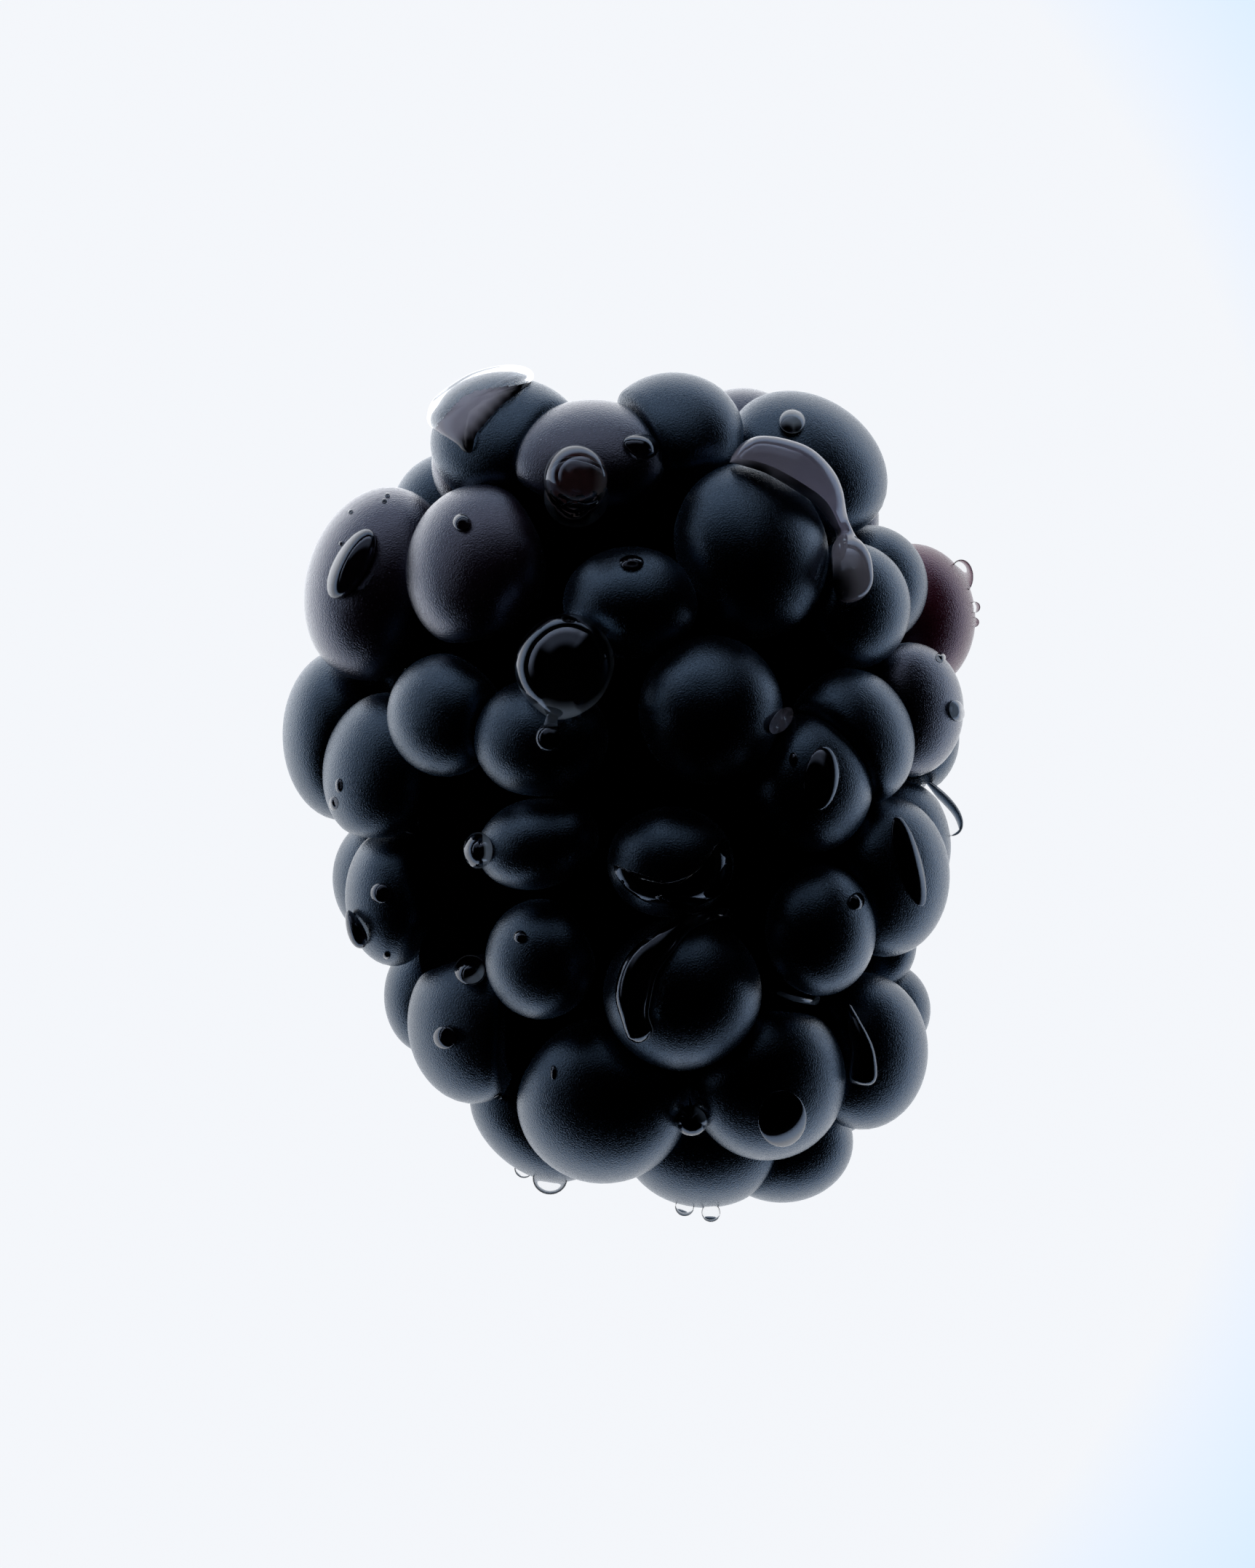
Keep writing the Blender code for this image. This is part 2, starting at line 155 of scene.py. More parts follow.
# small ones squeezed in deep between their neighbours, with the depth under the envelope; they wear
# the near-black flesh finish, painted shade for the clefts
SQUEEZED_DRUPELETS = [Drupelet(*row) for row in (
    (0.1, 0.2, 1.9, 1.8, 0, 2.2), (4.15, -2.2, 1.7, 2.1, 0, 2.2), (-5.6, -2.9, 1.3, 1.8, 0, 3.0),
    (-0.8, -4.4, 1.6, 1.5, 0, 1.9), (-3.2, -8.3, 1.7, 1.6, 0, 2.0), (-2.3, 8.9, 1.7, 1.6, 0, 1.9),
    (1.6, 9.4, 1.6, 1.6, 0, 1.9), (-4.2, 4.8, 1.5, 1.6, 0, 2.1), (5.3, 4.6, 1.6, 1.7, 0, 2.1),
    (0.6, 4.3, 1.3, 1.3, 0, 2.0), (4.9, -6.9, 1.3, 1.5, 0, 1.8), (-6.0, -5.6, 1.2, 1.4, 0, 1.6),
)]
# the same, heights counted downwards from the axis
UNDER_DRUPELETS = [Drupelet(*row) for row in (
    (-4.7, 11.2, 2.1, 2.0, 0, 0.0, D), (-3.6, 10.8, 2.3, 2.1, 10, 5.3),
    (0.3, 10.9, 2.3, 2.0, 0, 6.1, P), (4.2, 10.6, 2.3, 2.2, -10, 5.3),
    (6.4, 9.3, 2.2, 2.3, -20, 2.8, D), (-7.4, 6.3, 2.2, 2.4), (-4.0, 6.9, 2.3, 2.35),
    (0.2, 6.7, 2.35, 2.4), (4.4, 7.0, 2.35, 2.3), (7.4, 7.1, 2.1, 2.3), (-7.9, 2.0, 2.2, 2.5),
    (-5.0, 2.7, 2.25, 2.35), (-1.1, 2.4, 2.4, 2.3, 0, None, D), (3.2, 2.7, 2.4, 2.4),
    (6.7, 2.3, 2.2, 2.4), (8.9, 1.9, 2.1, 2.2, 0, 4.6), (9.3, 1.8, 2.05, 2.1, 0, 0.7),
    (-6.0, -1.6, 2.3, 2.2), (-2.4, -1.9, 2.4, 2.3, 0, 9.15), (1.9, -1.7, 2.4, 2.3),
    (6.1, -2.0, 2.3, 2.3), (8.9, -2.2, 2.1, 2.2, 0, 3.9), (-5.3, -5.7, 2.2, 2.3, 0, 5.4),
    (-1.4, -6.0, 2.4, 2.4, 0, 8.3), (2.9, -5.9, 2.4, 2.4, 0, 9.0), (6.6, -6.0, 2.3, 2.3, 0, 6.3),
    (8.1, -5.2, 1.8, 1.9, 0, 1.6), (-4.2, -9.0, 2.2, 2.2, 0, 3.8), (-0.4, -9.7, 2.3, 2.3, 0, 6.0),
    (3.7, -9.5, 2.3, 2.3, 0, 6.0), (6.7, -9.9, 2.1, 2.1, 0, 3.9), (-0.2, -11.3, 2.2, 1.9, 0, 2.3),
    (3.0, -11.8, 2.2, 2.1, 0, 3.6),
)]


# ------------------------------------------------------------------ mesh helpers
def make_piece(name: str, points: Array, quads: Array, triangles: Array,
               material: bpy.types.Material, slot: str,
               lining: tuple[bpy.types.Material, Array] | None = None) -> bpy.types.Object:
    """A smooth-shaded mesh object at the origin that rides with the berry.

    Args:
        name: object name.
        points: corners in millimetres from the axis, shape (n, 3).
        quads: corner numbers of the four-sided faces, shape (q, 4).
        triangles: corner numbers of the three-sided faces, shape (t, 3).
        material: the finish.
        slot: the record's material slot; not used.
        lining: a second finish and which corners' faces have it, shape (n,).

    Returns:
        The new object.
    """
    world = (points + (0.0, 0.0, FORM.rest_depth)) * MM
    corners = np.concatenate([quads.ravel(), triangles.ravel()]).astype(np.int32)
    totals = np.concatenate([np.full(len(quads), 4), np.full(len(triangles), 3)]).astype(np.int32)
    starts = np.concatenate([[0], np.cumsum(totals)[:-1]]).astype(np.int32)
    mesh = bpy.data.meshes.new(name)
    mesh.vertices.add(len(world))
    mesh.vertices.foreach_set("co", world.astype(np.float32).ravel())
    mesh.loops.add(len(corners))
    mesh.loops.foreach_set("vertex_index", corners)
    mesh.polygons.add(len(totals))
    mesh.polygons.foreach_set("loop_start", starts)
    mesh.polygons.foreach_set("use_smooth", np.ones(len(totals), dtype=bool))
    mesh.update(calc_edges=True)
    mesh.validate()
    mesh.materials.append(material)
    if lining is not None:
        mesh.materials.append(lining[0])
        inner = np.concatenate([lining[1][quads].all(axis=1), lining[1][triangles].all(axis=1)])
        mesh.polygons.foreach_set("material_index", inner.astype(np.int32))
    piece = bpy.data.objects.new(name, mesh)
    bpy.context.scene.collection.objects.link(piece)
    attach(piece, "root")
    LOG.info("%s: %d faces", name, len(totals))
    return piece


def closed_grid_faces(rings: int, segments: int) -> tuple[Array, Array]:
    """Faces of a ball-like grid: a first pole, rings of corners, a last pole.

    Args:
        rings: rings between the two poles.
        segments: corners of one ring.

    Returns:
        (quads, triangles) with outward faces when the rings turn counterclockwise
        about the direction from the last pole to the first.
    """
    s = np.arange(segments)
    n = (s + 1) % segments
    r = np.arange(rings - 1)[:, None]
    a, b = 1 + r * segments + s, 1 + r * segments + n
    quads = np.stack([a, a + segments, b + segments, b], axis=-1).reshape(-1, 4)
    last = 1 + rings * segments
    low = 1 + (rings - 1) * segments
    top = np.stack([np.zeros_like(s), 1 + s, 1 + n], axis=-1)
    bottom = np.stack([np.full_like(s, last), low + n, low + s], axis=-1)
    return quads, np.concatenate([top, bottom])


def ball_points(rings: int, segments: int) -> Array:
    """Corners of a unit ball over polar angle and turn, its first pole at the top.

    Args:
        rings: rings between the poles.
        segments: corners of one ring.

    Returns:
        Corners, shape (rings * segments + 2, 3).
    """
    polar = np.linspace(0.0, math.pi, rings + 2)[1:-1, None]
    turn = np.linspace(0.0, 2 * math.pi, segments, endpoint=False)[None, :]
    grid = np.stack([np.sin(polar) * np.cos(turn), np.sin(polar) * np.sin(turn),
                     np.cos(polar) + 0 * turn], -1).reshape(-1, 3)
    return np.concatenate([[[0, 0, 1.0]], grid, [[0, 0, -1.0]]])


def unit(vectors: Array) -> Array:
    """The vectors over their own lengths."""
    v = np.asarray(vectors, float)
    return v / np.maximum(np.linalg.norm(v, axis=-1, keepdims=True), 1e-12)


def frame_round(pole: Array) -> tuple[Array, Array]:
    """Two unit vectors square to each pole and to each other.

    Args:
        pole: unit vectors, shape (..., 3).

    Returns:
        (e, f) with e x f = pole.
    """
    helper = np.where(np.abs(pole[..., 1:2]) < 0.9, [0.0, 1.0, 0.0], [1.0, 0.0, 0.0])
    e = unit(np.cross(helper, pole))
    return e, np.cross(pole, e)


# ------------------------------------------------------------------ finishes
def fix(node: bpy.types.Node, **values: float | tuple[float, float, float]) -> None:
    """Set sockets of a node to constant values.

    Args:
        node: the node.
        values: numbers or colours by socket name, with an underscore for each space.
    """
    for name, value in values.items():
        constant = (*value, 1.0) if isinstance(value, tuple) else value
        node.inputs[name.replace("_", " ")].default_value = constant


class NodeBench:
    """A material's node tree with short calls for the nodes that the finishes use."""

    def __init__(self, name: str) -> None:
        """Start a material with its Principled shader and output.

        Args:
            name: the material's name.
        """
        self.material = bpy.data.materials.new(name)
        self.material.use_nodes = True
        self.tree = self.material.node_tree
        self.shader = self.tree.nodes["Principled BSDF"]

    def node(self, kind: str, **settings: object) -> bpy.types.Node:
        """Add a node and set its properties.

        Args:
            kind: the node's type.
            settings: its properties by name.

        Returns:
            The node.
        """
        made = self.tree.nodes.new(kind)
        for key, value in settings.items():
            setattr(made, key, value)
        return made

    def link(self, source: Socket, target: Socket) -> None:
        """Join two sockets."""
        self.tree.links.new(source, target)

    def noise(self, size_mm: float, detail: float = 2.0, rough: float = 0.5) -> Socket:
        """Noise on object coordinates.

        Args:
            size_mm: about how large its features are.
            detail: how many finer layers it has.
            rough: how strong the finer layers are.

        Returns:
            The noise, around 0.5.
        """
        place = self.node("ShaderNodeTexCoord")
        made = self.node("ShaderNodeTexNoise")
        fix(made, Scale=1000.0 / size_mm, Detail=detail, Roughness=rough)
        self.link(place.outputs["Object"], made.inputs["Vector"])
        return made.outputs["Fac"]

    def span(self, source: Socket, low: float, high: float,
             to_low: float, to_high: float) -> Socket:
        """Map one range of a value on another, and keep it there beyond the ends.

        Args:
            source: the value.
            low: where the first range starts.
            high: where it ends.
            to_low: the result at low.
            to_high: the result at high.

        Returns:
            The mapped value.
        """
        made = self.node("ShaderNodeMapRange")
        fix(made, From_Min=low, From_Max=high, To_Min=to_low, To_Max=to_high)
        self.link(source, made.inputs["Value"])
        return made.outputs["Result"]

    def times(self, first: Socket, second: Socket) -> Socket:
        """Product of two values.

        Args:
            first: one value.
            second: the other.

        Returns:
            The product.
        """
        made = self.node("ShaderNodeMath", operation="MULTIPLY")
        self.link(first, made.inputs[0])
        self.link(second, made.inputs[1])
        return made.outputs[0]

    def blend(self, share: Socket, first: object, second: object) -> Socket:
        """Mix two colours.

        Args:
            share: how far from the first colour to the second.
            first: a colour, as a socket or a tuple.
            second: the same.

        Returns:
            The mixed colour.
        """
        made = self.node("ShaderNodeMix", data_type="RGBA")
        self.link(share, made.inputs["Factor"])
        for socket, value in ((made.inputs[6], first), (made.inputs[7], second)):
            if isinstance(value, tuple):
                socket.default_value = (*value, 1.0)
            else:
                self.link(value, socket)
        return made.outputs[2]

    def bump(self, height: Socket, depth_mm: float,
             under: Socket | None = None) -> Socket:
        """Small unevenness of the surface.

        Args:
            height: the pattern, 0 to 1.
            depth_mm: how deep it goes.
            under: a surface direction that it adds to.

        Returns:
            The new surface direction.
        """
        made = self.node("ShaderNodeBump")
        fix(made, Strength=1.0, Distance=depth_mm * MM)
        self.link(height, made.inputs["Height"])
        if under is not None:
            self.link(under, made.inputs["Normal"])
        return made.outputs["Normal"]


@dataclass(frozen=True)
class SkinFinish:
    """Taut berry skin: almost black and glossy under a thin blue bloom of wax.

    The depths and sizes of the grain and of the wider swell are millimetres.
    """

    name: str = "ripe_skin"
    black: tuple[float, float, float] = (0.0016, 0.0018, 0.0032)
    purple: tuple[float, float, float] = (0.020, 0.010, 0.019)
    maroon: tuple[float, float, float] = (0.060, 0.012, 0.018)
    roughness: float = 0.22
    gloss_tint: tuple[float, float, float] = (0.27, 0.58, 1.0)
    wax: float = 0.6
    bloom: float = 0.25
    bloom_tint: tuple[float, float, float] = (0.35, 0.62, 1.0)
    grain: float = 0.02
    grain_size: float = 0.06
    swell: float = 0.02
    swell_size: float = 1.3

    def build(self) -> bpy.types.Material:
        """Make the material: colour by ripeness, wax coat, bloom, fine grain in the surface.

        Returns:
            The material.
        """
        bench = NodeBench(self.name)
        shader = bench.shader.inputs
        flesh = bench.node("ShaderNodeAttribute", attribute_name="flesh")
        parts = bench.node("ShaderNodeSeparateColor")
        bench.link(flesh.outputs["Color"], parts.inputs["Color"])
        colour = bench.blend(parts.outputs["Red"], self.black, self.purple)
        colour = bench.blend(parts.outputs["Green"], colour, self.maroon)
        bench.link(colour, shader["Base Color"])
        cells = bench.noise(self.grain_size, 2.0, 0.6)
        swell = bench.noise(self.swell_size, 1.0, 0.5)
        bench.link(bench.span(cells, 0.3, 0.7, self.roughness - 0.07, self.roughness + 0.09),
                   shader["Roughness"])
        surface = bench.bump(cells, self.grain, bench.bump(swell, self.swell))
        bench.link(surface, shader["Normal"])
        bench.link(surface, shader["Coat Normal"])
        fix(bench.shader, IOR=1.9, Specular_Tint=self.gloss_tint, Coat_Weight=self.wax,
            Coat_Roughness=0.2, Coat_IOR=1.5, Sheen_Weight=self.bloom, Sheen_Roughness=0.3,
            Sheen_Tint=self.bloom_tint)
        return bench.material


@dataclass(frozen=True)
class WetSkinAndPaintedLightFinish:
    """Skin seen through water, which takes nearly all its gloss away; in its pale versions the lining
    is painted light.
    """

    name: str = "wet_skin"
    colour: tuple[float, float, float] = (0.004, 0.003, 0.005)
    light: tuple[float, float, float] = (0.008, 0.005, 0.008)
    deep: tuple[float, float, float] = (0.004, 0.003, 0.005)

    def build(self) -> bpy.types.Material:
        """Make the material: dull, faintly mottled, taking the deep colour by its shade; a pale
        colour here is painted light, which the shade takes away.

        Returns:
            The material.
        """
        bench = NodeBench(self.name)
        shader = bench.shader.inputs
        mottle = bench.span(bench.noise(0.5), 0.3, 0.7, 0.0, 1.0)
        shade = bench.node("ShaderNodeAttribute", attribute_name="shade")
        colour = bench.blend(mottle, self.colour, self.light)
        # the shade attribute takes the lining to its deep colour: painted shade against painted light
        bench.link(bench.blend(shade.outputs["Fac"], colour, self.deep), shader["Base Color"])
        fix(bench.shader, Roughness=0.5, Specular_IOR_Level=0.0)
        return bench.material


@dataclass(frozen=True)
class PaintedShadeFleshFinish:
    """Near-black flesh deep between the drupelets, without gloss: painted shade for the clefts."""

    name: str = "flesh_painted_shade"
    colour: tuple[float, float, float] = (0.0005, 0.0004, 0.0006)
    light: tuple[float, float, float] = (0.0014, 0.0006, 0.0009)

    def build(self) -> bpy.types.Material:
        """Make the material: dull, nearly black, with a little mottling.

        Returns:
            The material.
        """
        bench = NodeBench(self.name)
        shader = bench.shader.inputs
        mottle = bench.span(bench.noise(0.8), 0.35, 0.65, 0.0, 1.0)
        bench.link(bench.blend(mottle, self.colour, self.light), shader["Base Color"])
        bench.link(bench.bump(bench.noise(0.4), 0.03), shader["Normal"])
        # nearly black and without gloss: painted shade in the clefts
        fix(bench.shader, Roughness=0.6, Specular_IOR_Level=0.0)
        return bench.material


@dataclass(frozen=True)
class ScarFinish:
    """Dry, pale, fibrous flesh where the stalk sat."""

    name: str = "stem_scar"
    pale: tuple[float, float, float] = (0.21, 0.18, 0.105)
    stain: tuple[float, float, float] = (0.06, 0.016, 0.028)

    def build(self) -> bpy.types.Material:
        """Make the material: straw colour stained by juice in patches, dull and rough.

        Returns:
            The material.
        """
        bench = NodeBench(self.name)
        shader = bench.shader.inputs
        patches = bench.span(bench.noise(1.2, 3.0), 0.42, 0.60, 0.0, 1.0)
        bench.link(bench.blend(patches, self.pale, self.stain), shader["Base Color"])
        bench.link(bench.bump(bench.noise(0.2, 3.0), 0.06), shader["Normal"])
        fix(bench.shader, Roughness=0.8, Specular_IOR_Level=0.2)
        return bench.material


@dataclass(frozen=True)
class WaterFinish:
    """Clear water; the drops on the skin bend light more and shine more than plain water."""

    name: str = "clear_water"
    bending: float = 1.333
    shine: float = 0.0
    tint: tuple[float, float, float] = (1.0, 1.0, 1.0)

    def build(self) -> bpy.types.Material:
        """Make the material: smooth, fully clear, refracting.

        Returns:
            The material.
        """
        bench = NodeBench(self.name)
        fix(bench.shader, Base_Color=(1.0, 1.0, 1.0), Roughness=0.02, IOR=self.bending,
            Specular_Tint=self.tint, Transmission_Weight=1.0, Coat_Weight=self.shine,
            Coat_Roughness=0.03, Coat_IOR=1.5)
        return bench.material


@dataclass(frozen=True)
class FloorFinish:
    """Pale table lit from beneath, dark again some way out.

    Lengths are metres.  The light that the berry gets from the table is stronger close to
    it, on the side that spill_way points to.
    """

    name: str = "pale_table"
    glow: tuple[float, float, float] = (0.905, 0.925, 0.962)
    outer_glow: tuple[float, float, float] = (0.71, 0.86, 1.07)
    middle: tuple[float, float] = (-0.008, 0.001)
    narrow: float = 1.18
    cooler: tuple[float, float] = (0.036, 0.044)
    darker: tuple[float, float] = (0.055, 0.095)
    spill: float = 0.55
    spill_way: tuple[float, float] = (-0.45, 0.89)
    spill_side: tuple[float, float] = (0.005, 0.014)
    spill_reach: tuple[float, float] = (0.022, 0.032)

    def build(self) -> bpy.types.Material:
        """Make the material: matt, with a glow that falls off by distance on the table.

        Returns:
            The material.
        """
        bench = NodeBench(self.name)
        shader = bench.shader.inputs
        fix(bench.shader, Base_Color=(0.05, 0.05, 0.05), Roughness=1.0, Specular_IOR_Level=0.0,
            Emission_Strength=1.0)
        place = bench.node("ShaderNodeTexCoord")
        away = bench.node("ShaderNodeVectorMath", operation="DISTANCE")
        squeeze = bench.node("ShaderNodeVectorMath", operation="MULTIPLY")
        bench.link(place.outputs["Object"], squeeze.inputs[0])
        squeeze.inputs[1].default_value = (self.narrow, 1.0, 1.0)
        bench.link(squeeze.outputs[0], away.inputs[0])
        away.inputs[1].default_value = (*self.middle, 0.0)
        share = bench.span(away.outputs["Value"], *self.darker, 0.0, 1.0)
        near = bench.span(away.outputs["Value"], *self.cooler, 0.0, 1.0)
        colour = bench.blend(near, self.glow, self.outer_glow)
        bench.link(bench.blend(share, colour, (0.0, 0.0, 0.0)), shader["Emission Color"])
        beside = bench.node("ShaderNodeVectorMath", operation="DOT_PRODUCT")
        bench.link(place.outputs["Object"], beside.inputs[0])
        beside.inputs[1].default_value = (*self.spill_way, 0.0)
        close = bench.span(away.outputs["Value"], *self.spill_reach, self.spill, 0.0)
        over = bench.times(bench.span(beside.outputs["Value"], *self.spill_side, 0.0, 1.0), close)
        seen = bench.node("ShaderNodeLightPath").outputs["Is Camera Ray"]
        added = bench.times(over, bench.span(seen, 0.0, 1.0, 1.0, 0.0))
        bench.link(bench.span(added, 0.0, 1.0, 1.0, 2.0), shader["Emission Strength"])
        return bench.material


# ------------------------------------------------------------------ the berry
EDGE_CLEAR = 1.002    # a sheet's edge stands this much wider than the drupelet under it


@dataclass
class DrupeletCluster:
    """Every drupelet of the berry as arrays, and the skin they make together.

    Lengths are millimetres from the middle of the axis.
    """

    form: BerryForm = FORM
    contact_gap: float = 0.05
    edge_power: float = 18.0
    floor_power: float = 60.0
    least_apart: float = 0.1
    least_ahead: float = 0.05
    tuck: float = 0.5
    steady_height: float = 3.0
    least_steady: float = 0.25
    line_share: float = 0.75
    line_half: float = 7.0
    normal_blend: float = 14.0
    dusky_from: float = 0.3
    maroon_from: float = 0.5
    core_middle: tuple[float, float, float] = (0.8, -0.3, 0.0)
    core_half: tuple[float, float, float] = (8.2, 11.6, 8.2)
    centres: Array = field(init=False)
    halves: Array = field(init=False)
    shapes: Array = field(init=False)
    flesh: Array = field(init=False)
    upper: int = field(init=False)

    def __post_init__(self) -> None:
        """Fill the arrays from the three tables."""
        deep = [row._replace(height=float(self.form.height(row.across, row.along)) - row.height)
                for row in SQUEEZED_DRUPELETS]
        rows = UPPER_DRUPELETS + deep + UNDER_DRUPELETS
        self.upper = len(UPPER_DRUPELETS) + len(deep)
        side = np.where(np.arange(len(rows)) < self.upper, 1.0, -1.0)
        level = np.array([(row.across, row.along) for row in rows], float)
        sizes = np.array([(row.half_width, row.half_length) for row in rows], float)
        given = np.array([np.nan if row.height is None else row.height for row in rows])
        height = np.where(np.isnan(given), self.form.height(level[:, 0], level[:, 1]), given)
        self.centres = np.column_stack([level, side * height])
        self.halves = np.column_stack([sizes, self.form.depth_ratio * sizes.mean(axis=1)])
        self.shapes = self.leaning_shapes(np.radians([row.lean for row in rows]), side)
        ripeness = np.array([row.ripeness.value for row in rows])
        self.flesh = np.column_stack([ripeness, np.zeros(len(rows)), np.ones(len(rows))])

    def leaning_shapes(self, lean: Array, side: Array) -> Array:
        """Matrices that carry each drupelet, taken from its centre, onto a unit ball.

        From above a drupelet shows its own ellipse E = R diag(a^2, b^2) R'.  Its highest
        point is moved towards the berry's middle by o = -tuck * (size that way) * (level
        part of the outward direction), because it is flattened against the berry; less so
        near the height of the axis.  The ball is carried there by the columns of a root of
        E - o o', with o and the depth as the third column.

        Args:
            lean: turn of each ellipse in radians.
            side: +1 for a drupelet of the upper side, -1 for one of the underside.

        Returns:
            Inverse matrices, shape (n, 3, 3).
        """
        cos, sin = np.cos(lean), np.sin(lean)
        turn = np.stack([cos, -sin, sin, cos], -1).reshape(-1, 2, 2)
        ellipse = np.einsum("nij,nj,nkj->nik", turn, self.halves[:, :2] ** 2, turn)
        level = self.outward()[:, :2]
        way = level / np.maximum(np.linalg.norm(level, axis=1, keepdims=True), 1e-9)
        size = np.sqrt(np.einsum("ni,nij,nj->n", way, ellipse, way))
        steady = np.clip(side * self.centres[:, 2] / self.steady_height, self.least_steady, 1.0)
        shift = -self.tuck * (size * side * steady)[:, None] * level
        carry = np.zeros((len(lean), 3, 3))
        carry[:, :2, :2] = np.linalg.cholesky(ellipse - shift[:, :, None] * shift[:, None, :])
        carry[:, :2, 2] = shift
        carry[:, 2, 2] = self.halves[:, 2]
        return np.linalg.inv(carry)

    def outward(self) -> Array:
        """Unit directions from the berry's middle line through the drupelet centres.

        The line's point for a centre lies at line_share of its place along, at most
        line_half from the middle.

        Returns:
            Directions, shape (n, 3).
        """
        along = np.clip(self.centres[:, 1] * self.line_share, -self.line_half, self.line_half)
        middle = np.column_stack([self.form.axis_across(along), along, 0 * along])
        return unit(self.centres - middle)

    def surface(self, which: Array, segments: int, rings: int) -> Array:
        """Corners of the chosen drupelets.

        A point is centre + r(direction) * direction over a grid of polar angle and turn
        about the outward pole.  r is a soft minimum of the ellipsoid's radius and of the
        distances to the planes where the drupelet presses on its neighbours and on the
        table: (sum of distance^-p)^(-1/p).  No neighbour's plane comes nearer to the
        centre than half of the ellipsoid's radius that way.

        Args:
            which: numbers of the drupelets.
            segments: corners round a ring.
            rings: rings between the poles.

        Returns:
            Corners, shape (len(which), rings * segments + 2, 3).
        """
        pole = self.outward()[which]
        e, f = frame_round(pole)
        rays = np.einsum("vk,nkc->nvc", ball_points(rings, segments), np.stack([e, f, pole], axis=1))
        ball = 1.0 / np.linalg.norm(np.einsum("nij,nvj->nvi", self.shapes[which], rays), axis=-1)
        total = ball ** -self.edge_power
        apart = self.centres[None, :, :] - self.centres[which][:, None, :]
        distance = np.linalg.norm(apart, axis=-1)
        facing = apart / np.maximum(distance, 1e-9)[..., None]
        own = np.linalg.norm(np.einsum("nij,nmj->nmi", self.shapes[which], facing), axis=-1)
        own = 1.0 / np.maximum(own, 1e-9)
        other = np.linalg.norm(np.einsum("mij,nmj->nmi", self.shapes, facing), axis=-1)
        other = 1.0 / np.maximum(other, 1e-9)
        touch = (distance > self.least_apart) & (distance < own + other)
        plane = (distance ** 2 + own ** 2 - other ** 2) / np.maximum(2 * distance, 1e-9)
        plane = np.clip(plane, 0.5 * own, None) - 0.5 * self.contact_gap
        for m in range(len(self.centres)):
            ahead = np.einsum("nvc,nc->nv", rays, facing[:, m])
            reach = plane[:, m, None] / np.maximum(ahead, 1e-3)
            near = touch[:, m, None] & (ahead > self.least_ahead)
            total = total + np.where(near, reach, np.inf) ** -self.edge_power
        down = -rays[..., 2]
        above = (self.centres[which][:, 2] + self.form.rest_depth)[:, None]
        floor = above / np.maximum(down, 1e-3)
        total = total + np.where(down > self.least_ahead, floor, np.inf) ** -self.floor_power
        radius = total ** (-1.0 / self.edge_power)
        points = self.centres[which][:, None, :] + radius[..., None] * rays
        points[..., 2] = np.maximum(points[..., 2], -self.form.rest_depth)
        return points

    def hit(self, points: Array, direction: Array) -> Array:
        """Distance along a direction to the outermost skin, drupelet ellipsoids and flesh.

        Args:
            points: starts of the lines, shape (n, 3).
            direction: one unit vector.

        Returns:
            The largest root of |shape (point + t direction - centre)|^2 = 1 over all bodies.
        """
        centres = np.concatenate([self.centres, [self.core_middle]])
        shapes = np.concatenate([self.shapes, np.diag(1.0 / np.array(self.core_half))[None]])
        u = np.einsum("mij,nmj->nmi", shapes, points[:, None, :] - centres[None])
        w = np.einsum("mij,j->mi", shapes, direction)[None]
        a, b, c = (w * w).sum(-1), (u * w).sum(-1), (u * u).sum(-1) - 1.0
        root = b * b - a * c
        far = np.where(root > 0, (-b + np.sqrt(np.maximum(root, 0))) / a, -np.inf)
        return far.max(axis=1)

    def swollen(self, number: int, level: Array, q: Array, edge: Array, around: Array,
                most: float) -> Array:
        """Height of one drupelet's ellipsoid blown up just enough to carry a sheet of water.

        A place p is at e(p) = smallest |shape (p + z up - centre)| over all z.  The blow-up
        factor is 1 + most * (1 - q^2)^(1/2) in the middle, going over q to
        max(EDGE_CLEAR * e(edge), 1).

        Args:
            number: the drupelet.
            level: places seen from above, shape (n, 2).
            q: share of the way from the sheet's middle to its edge, shape (n,).
            edge: the sheet's outline, shape (m, 2).
            around: which outline point each place belongs to, shape (n,).
            most: blow-up in the middle.

        Returns:
            Heights, shape (n,).
        """
        centre, shape = self.centres[number], self.shapes[number]
        rise = shape @ UP

        def parts(place: Array) -> tuple[Array, Array, Array]:
            """Where a place lies on the unit ball.

            Args:
                place: places seen from above, shape (n, 2).

            Returns:
                Ball coordinates at the centre's height, their share along up, and e.
            """
            u = (np.column_stack([place, 0 * place[:, 0]]) - [*centre[:2], 0.0]) @ shape.T
            b = u @ rise / (rise @ rise)
            return u, b, np.linalg.norm(u - b[:, None] * rise, axis=1)

        need = np.maximum(parts(edge)[2] * EDGE_CLEAR, 1.0)[around]
        factor = 1.0 + (need - 1.0) * q ** 2 + most * np.sqrt(np.maximum(1.0 - q ** 2, 0.0))
        _, b, e = parts(level)
        up = np.sqrt(np.maximum(factor ** 2 - e ** 2, 0.0)) / np.linalg.norm(rise)
        return centre[2] - b + up

    def normal(self, points: Array) -> Array:
        """Skin normals, blended between drupelets.

        With d the distance from a drupelet's centre in its own unit balls, its share is
        exp(-normal_blend * (d - least d)).

        Args:
            points: places near the skin, shape (n, 3).

        Returns:
            Unit vectors, shape (n, 3).
        """
        away = points[:, None, :] - self.centres[None]
        u = np.einsum("mij,nmj->nmi", self.shapes, away)
        depth = np.linalg.norm(u, axis=-1)
        slope = np.einsum("mij,nmi->nmj", self.shapes, u)
        share = np.exp(-self.normal_blend * (depth - depth.min(axis=1, keepdims=True)))
        return unit((unit(slope) * share[..., None]).sum(axis=1))

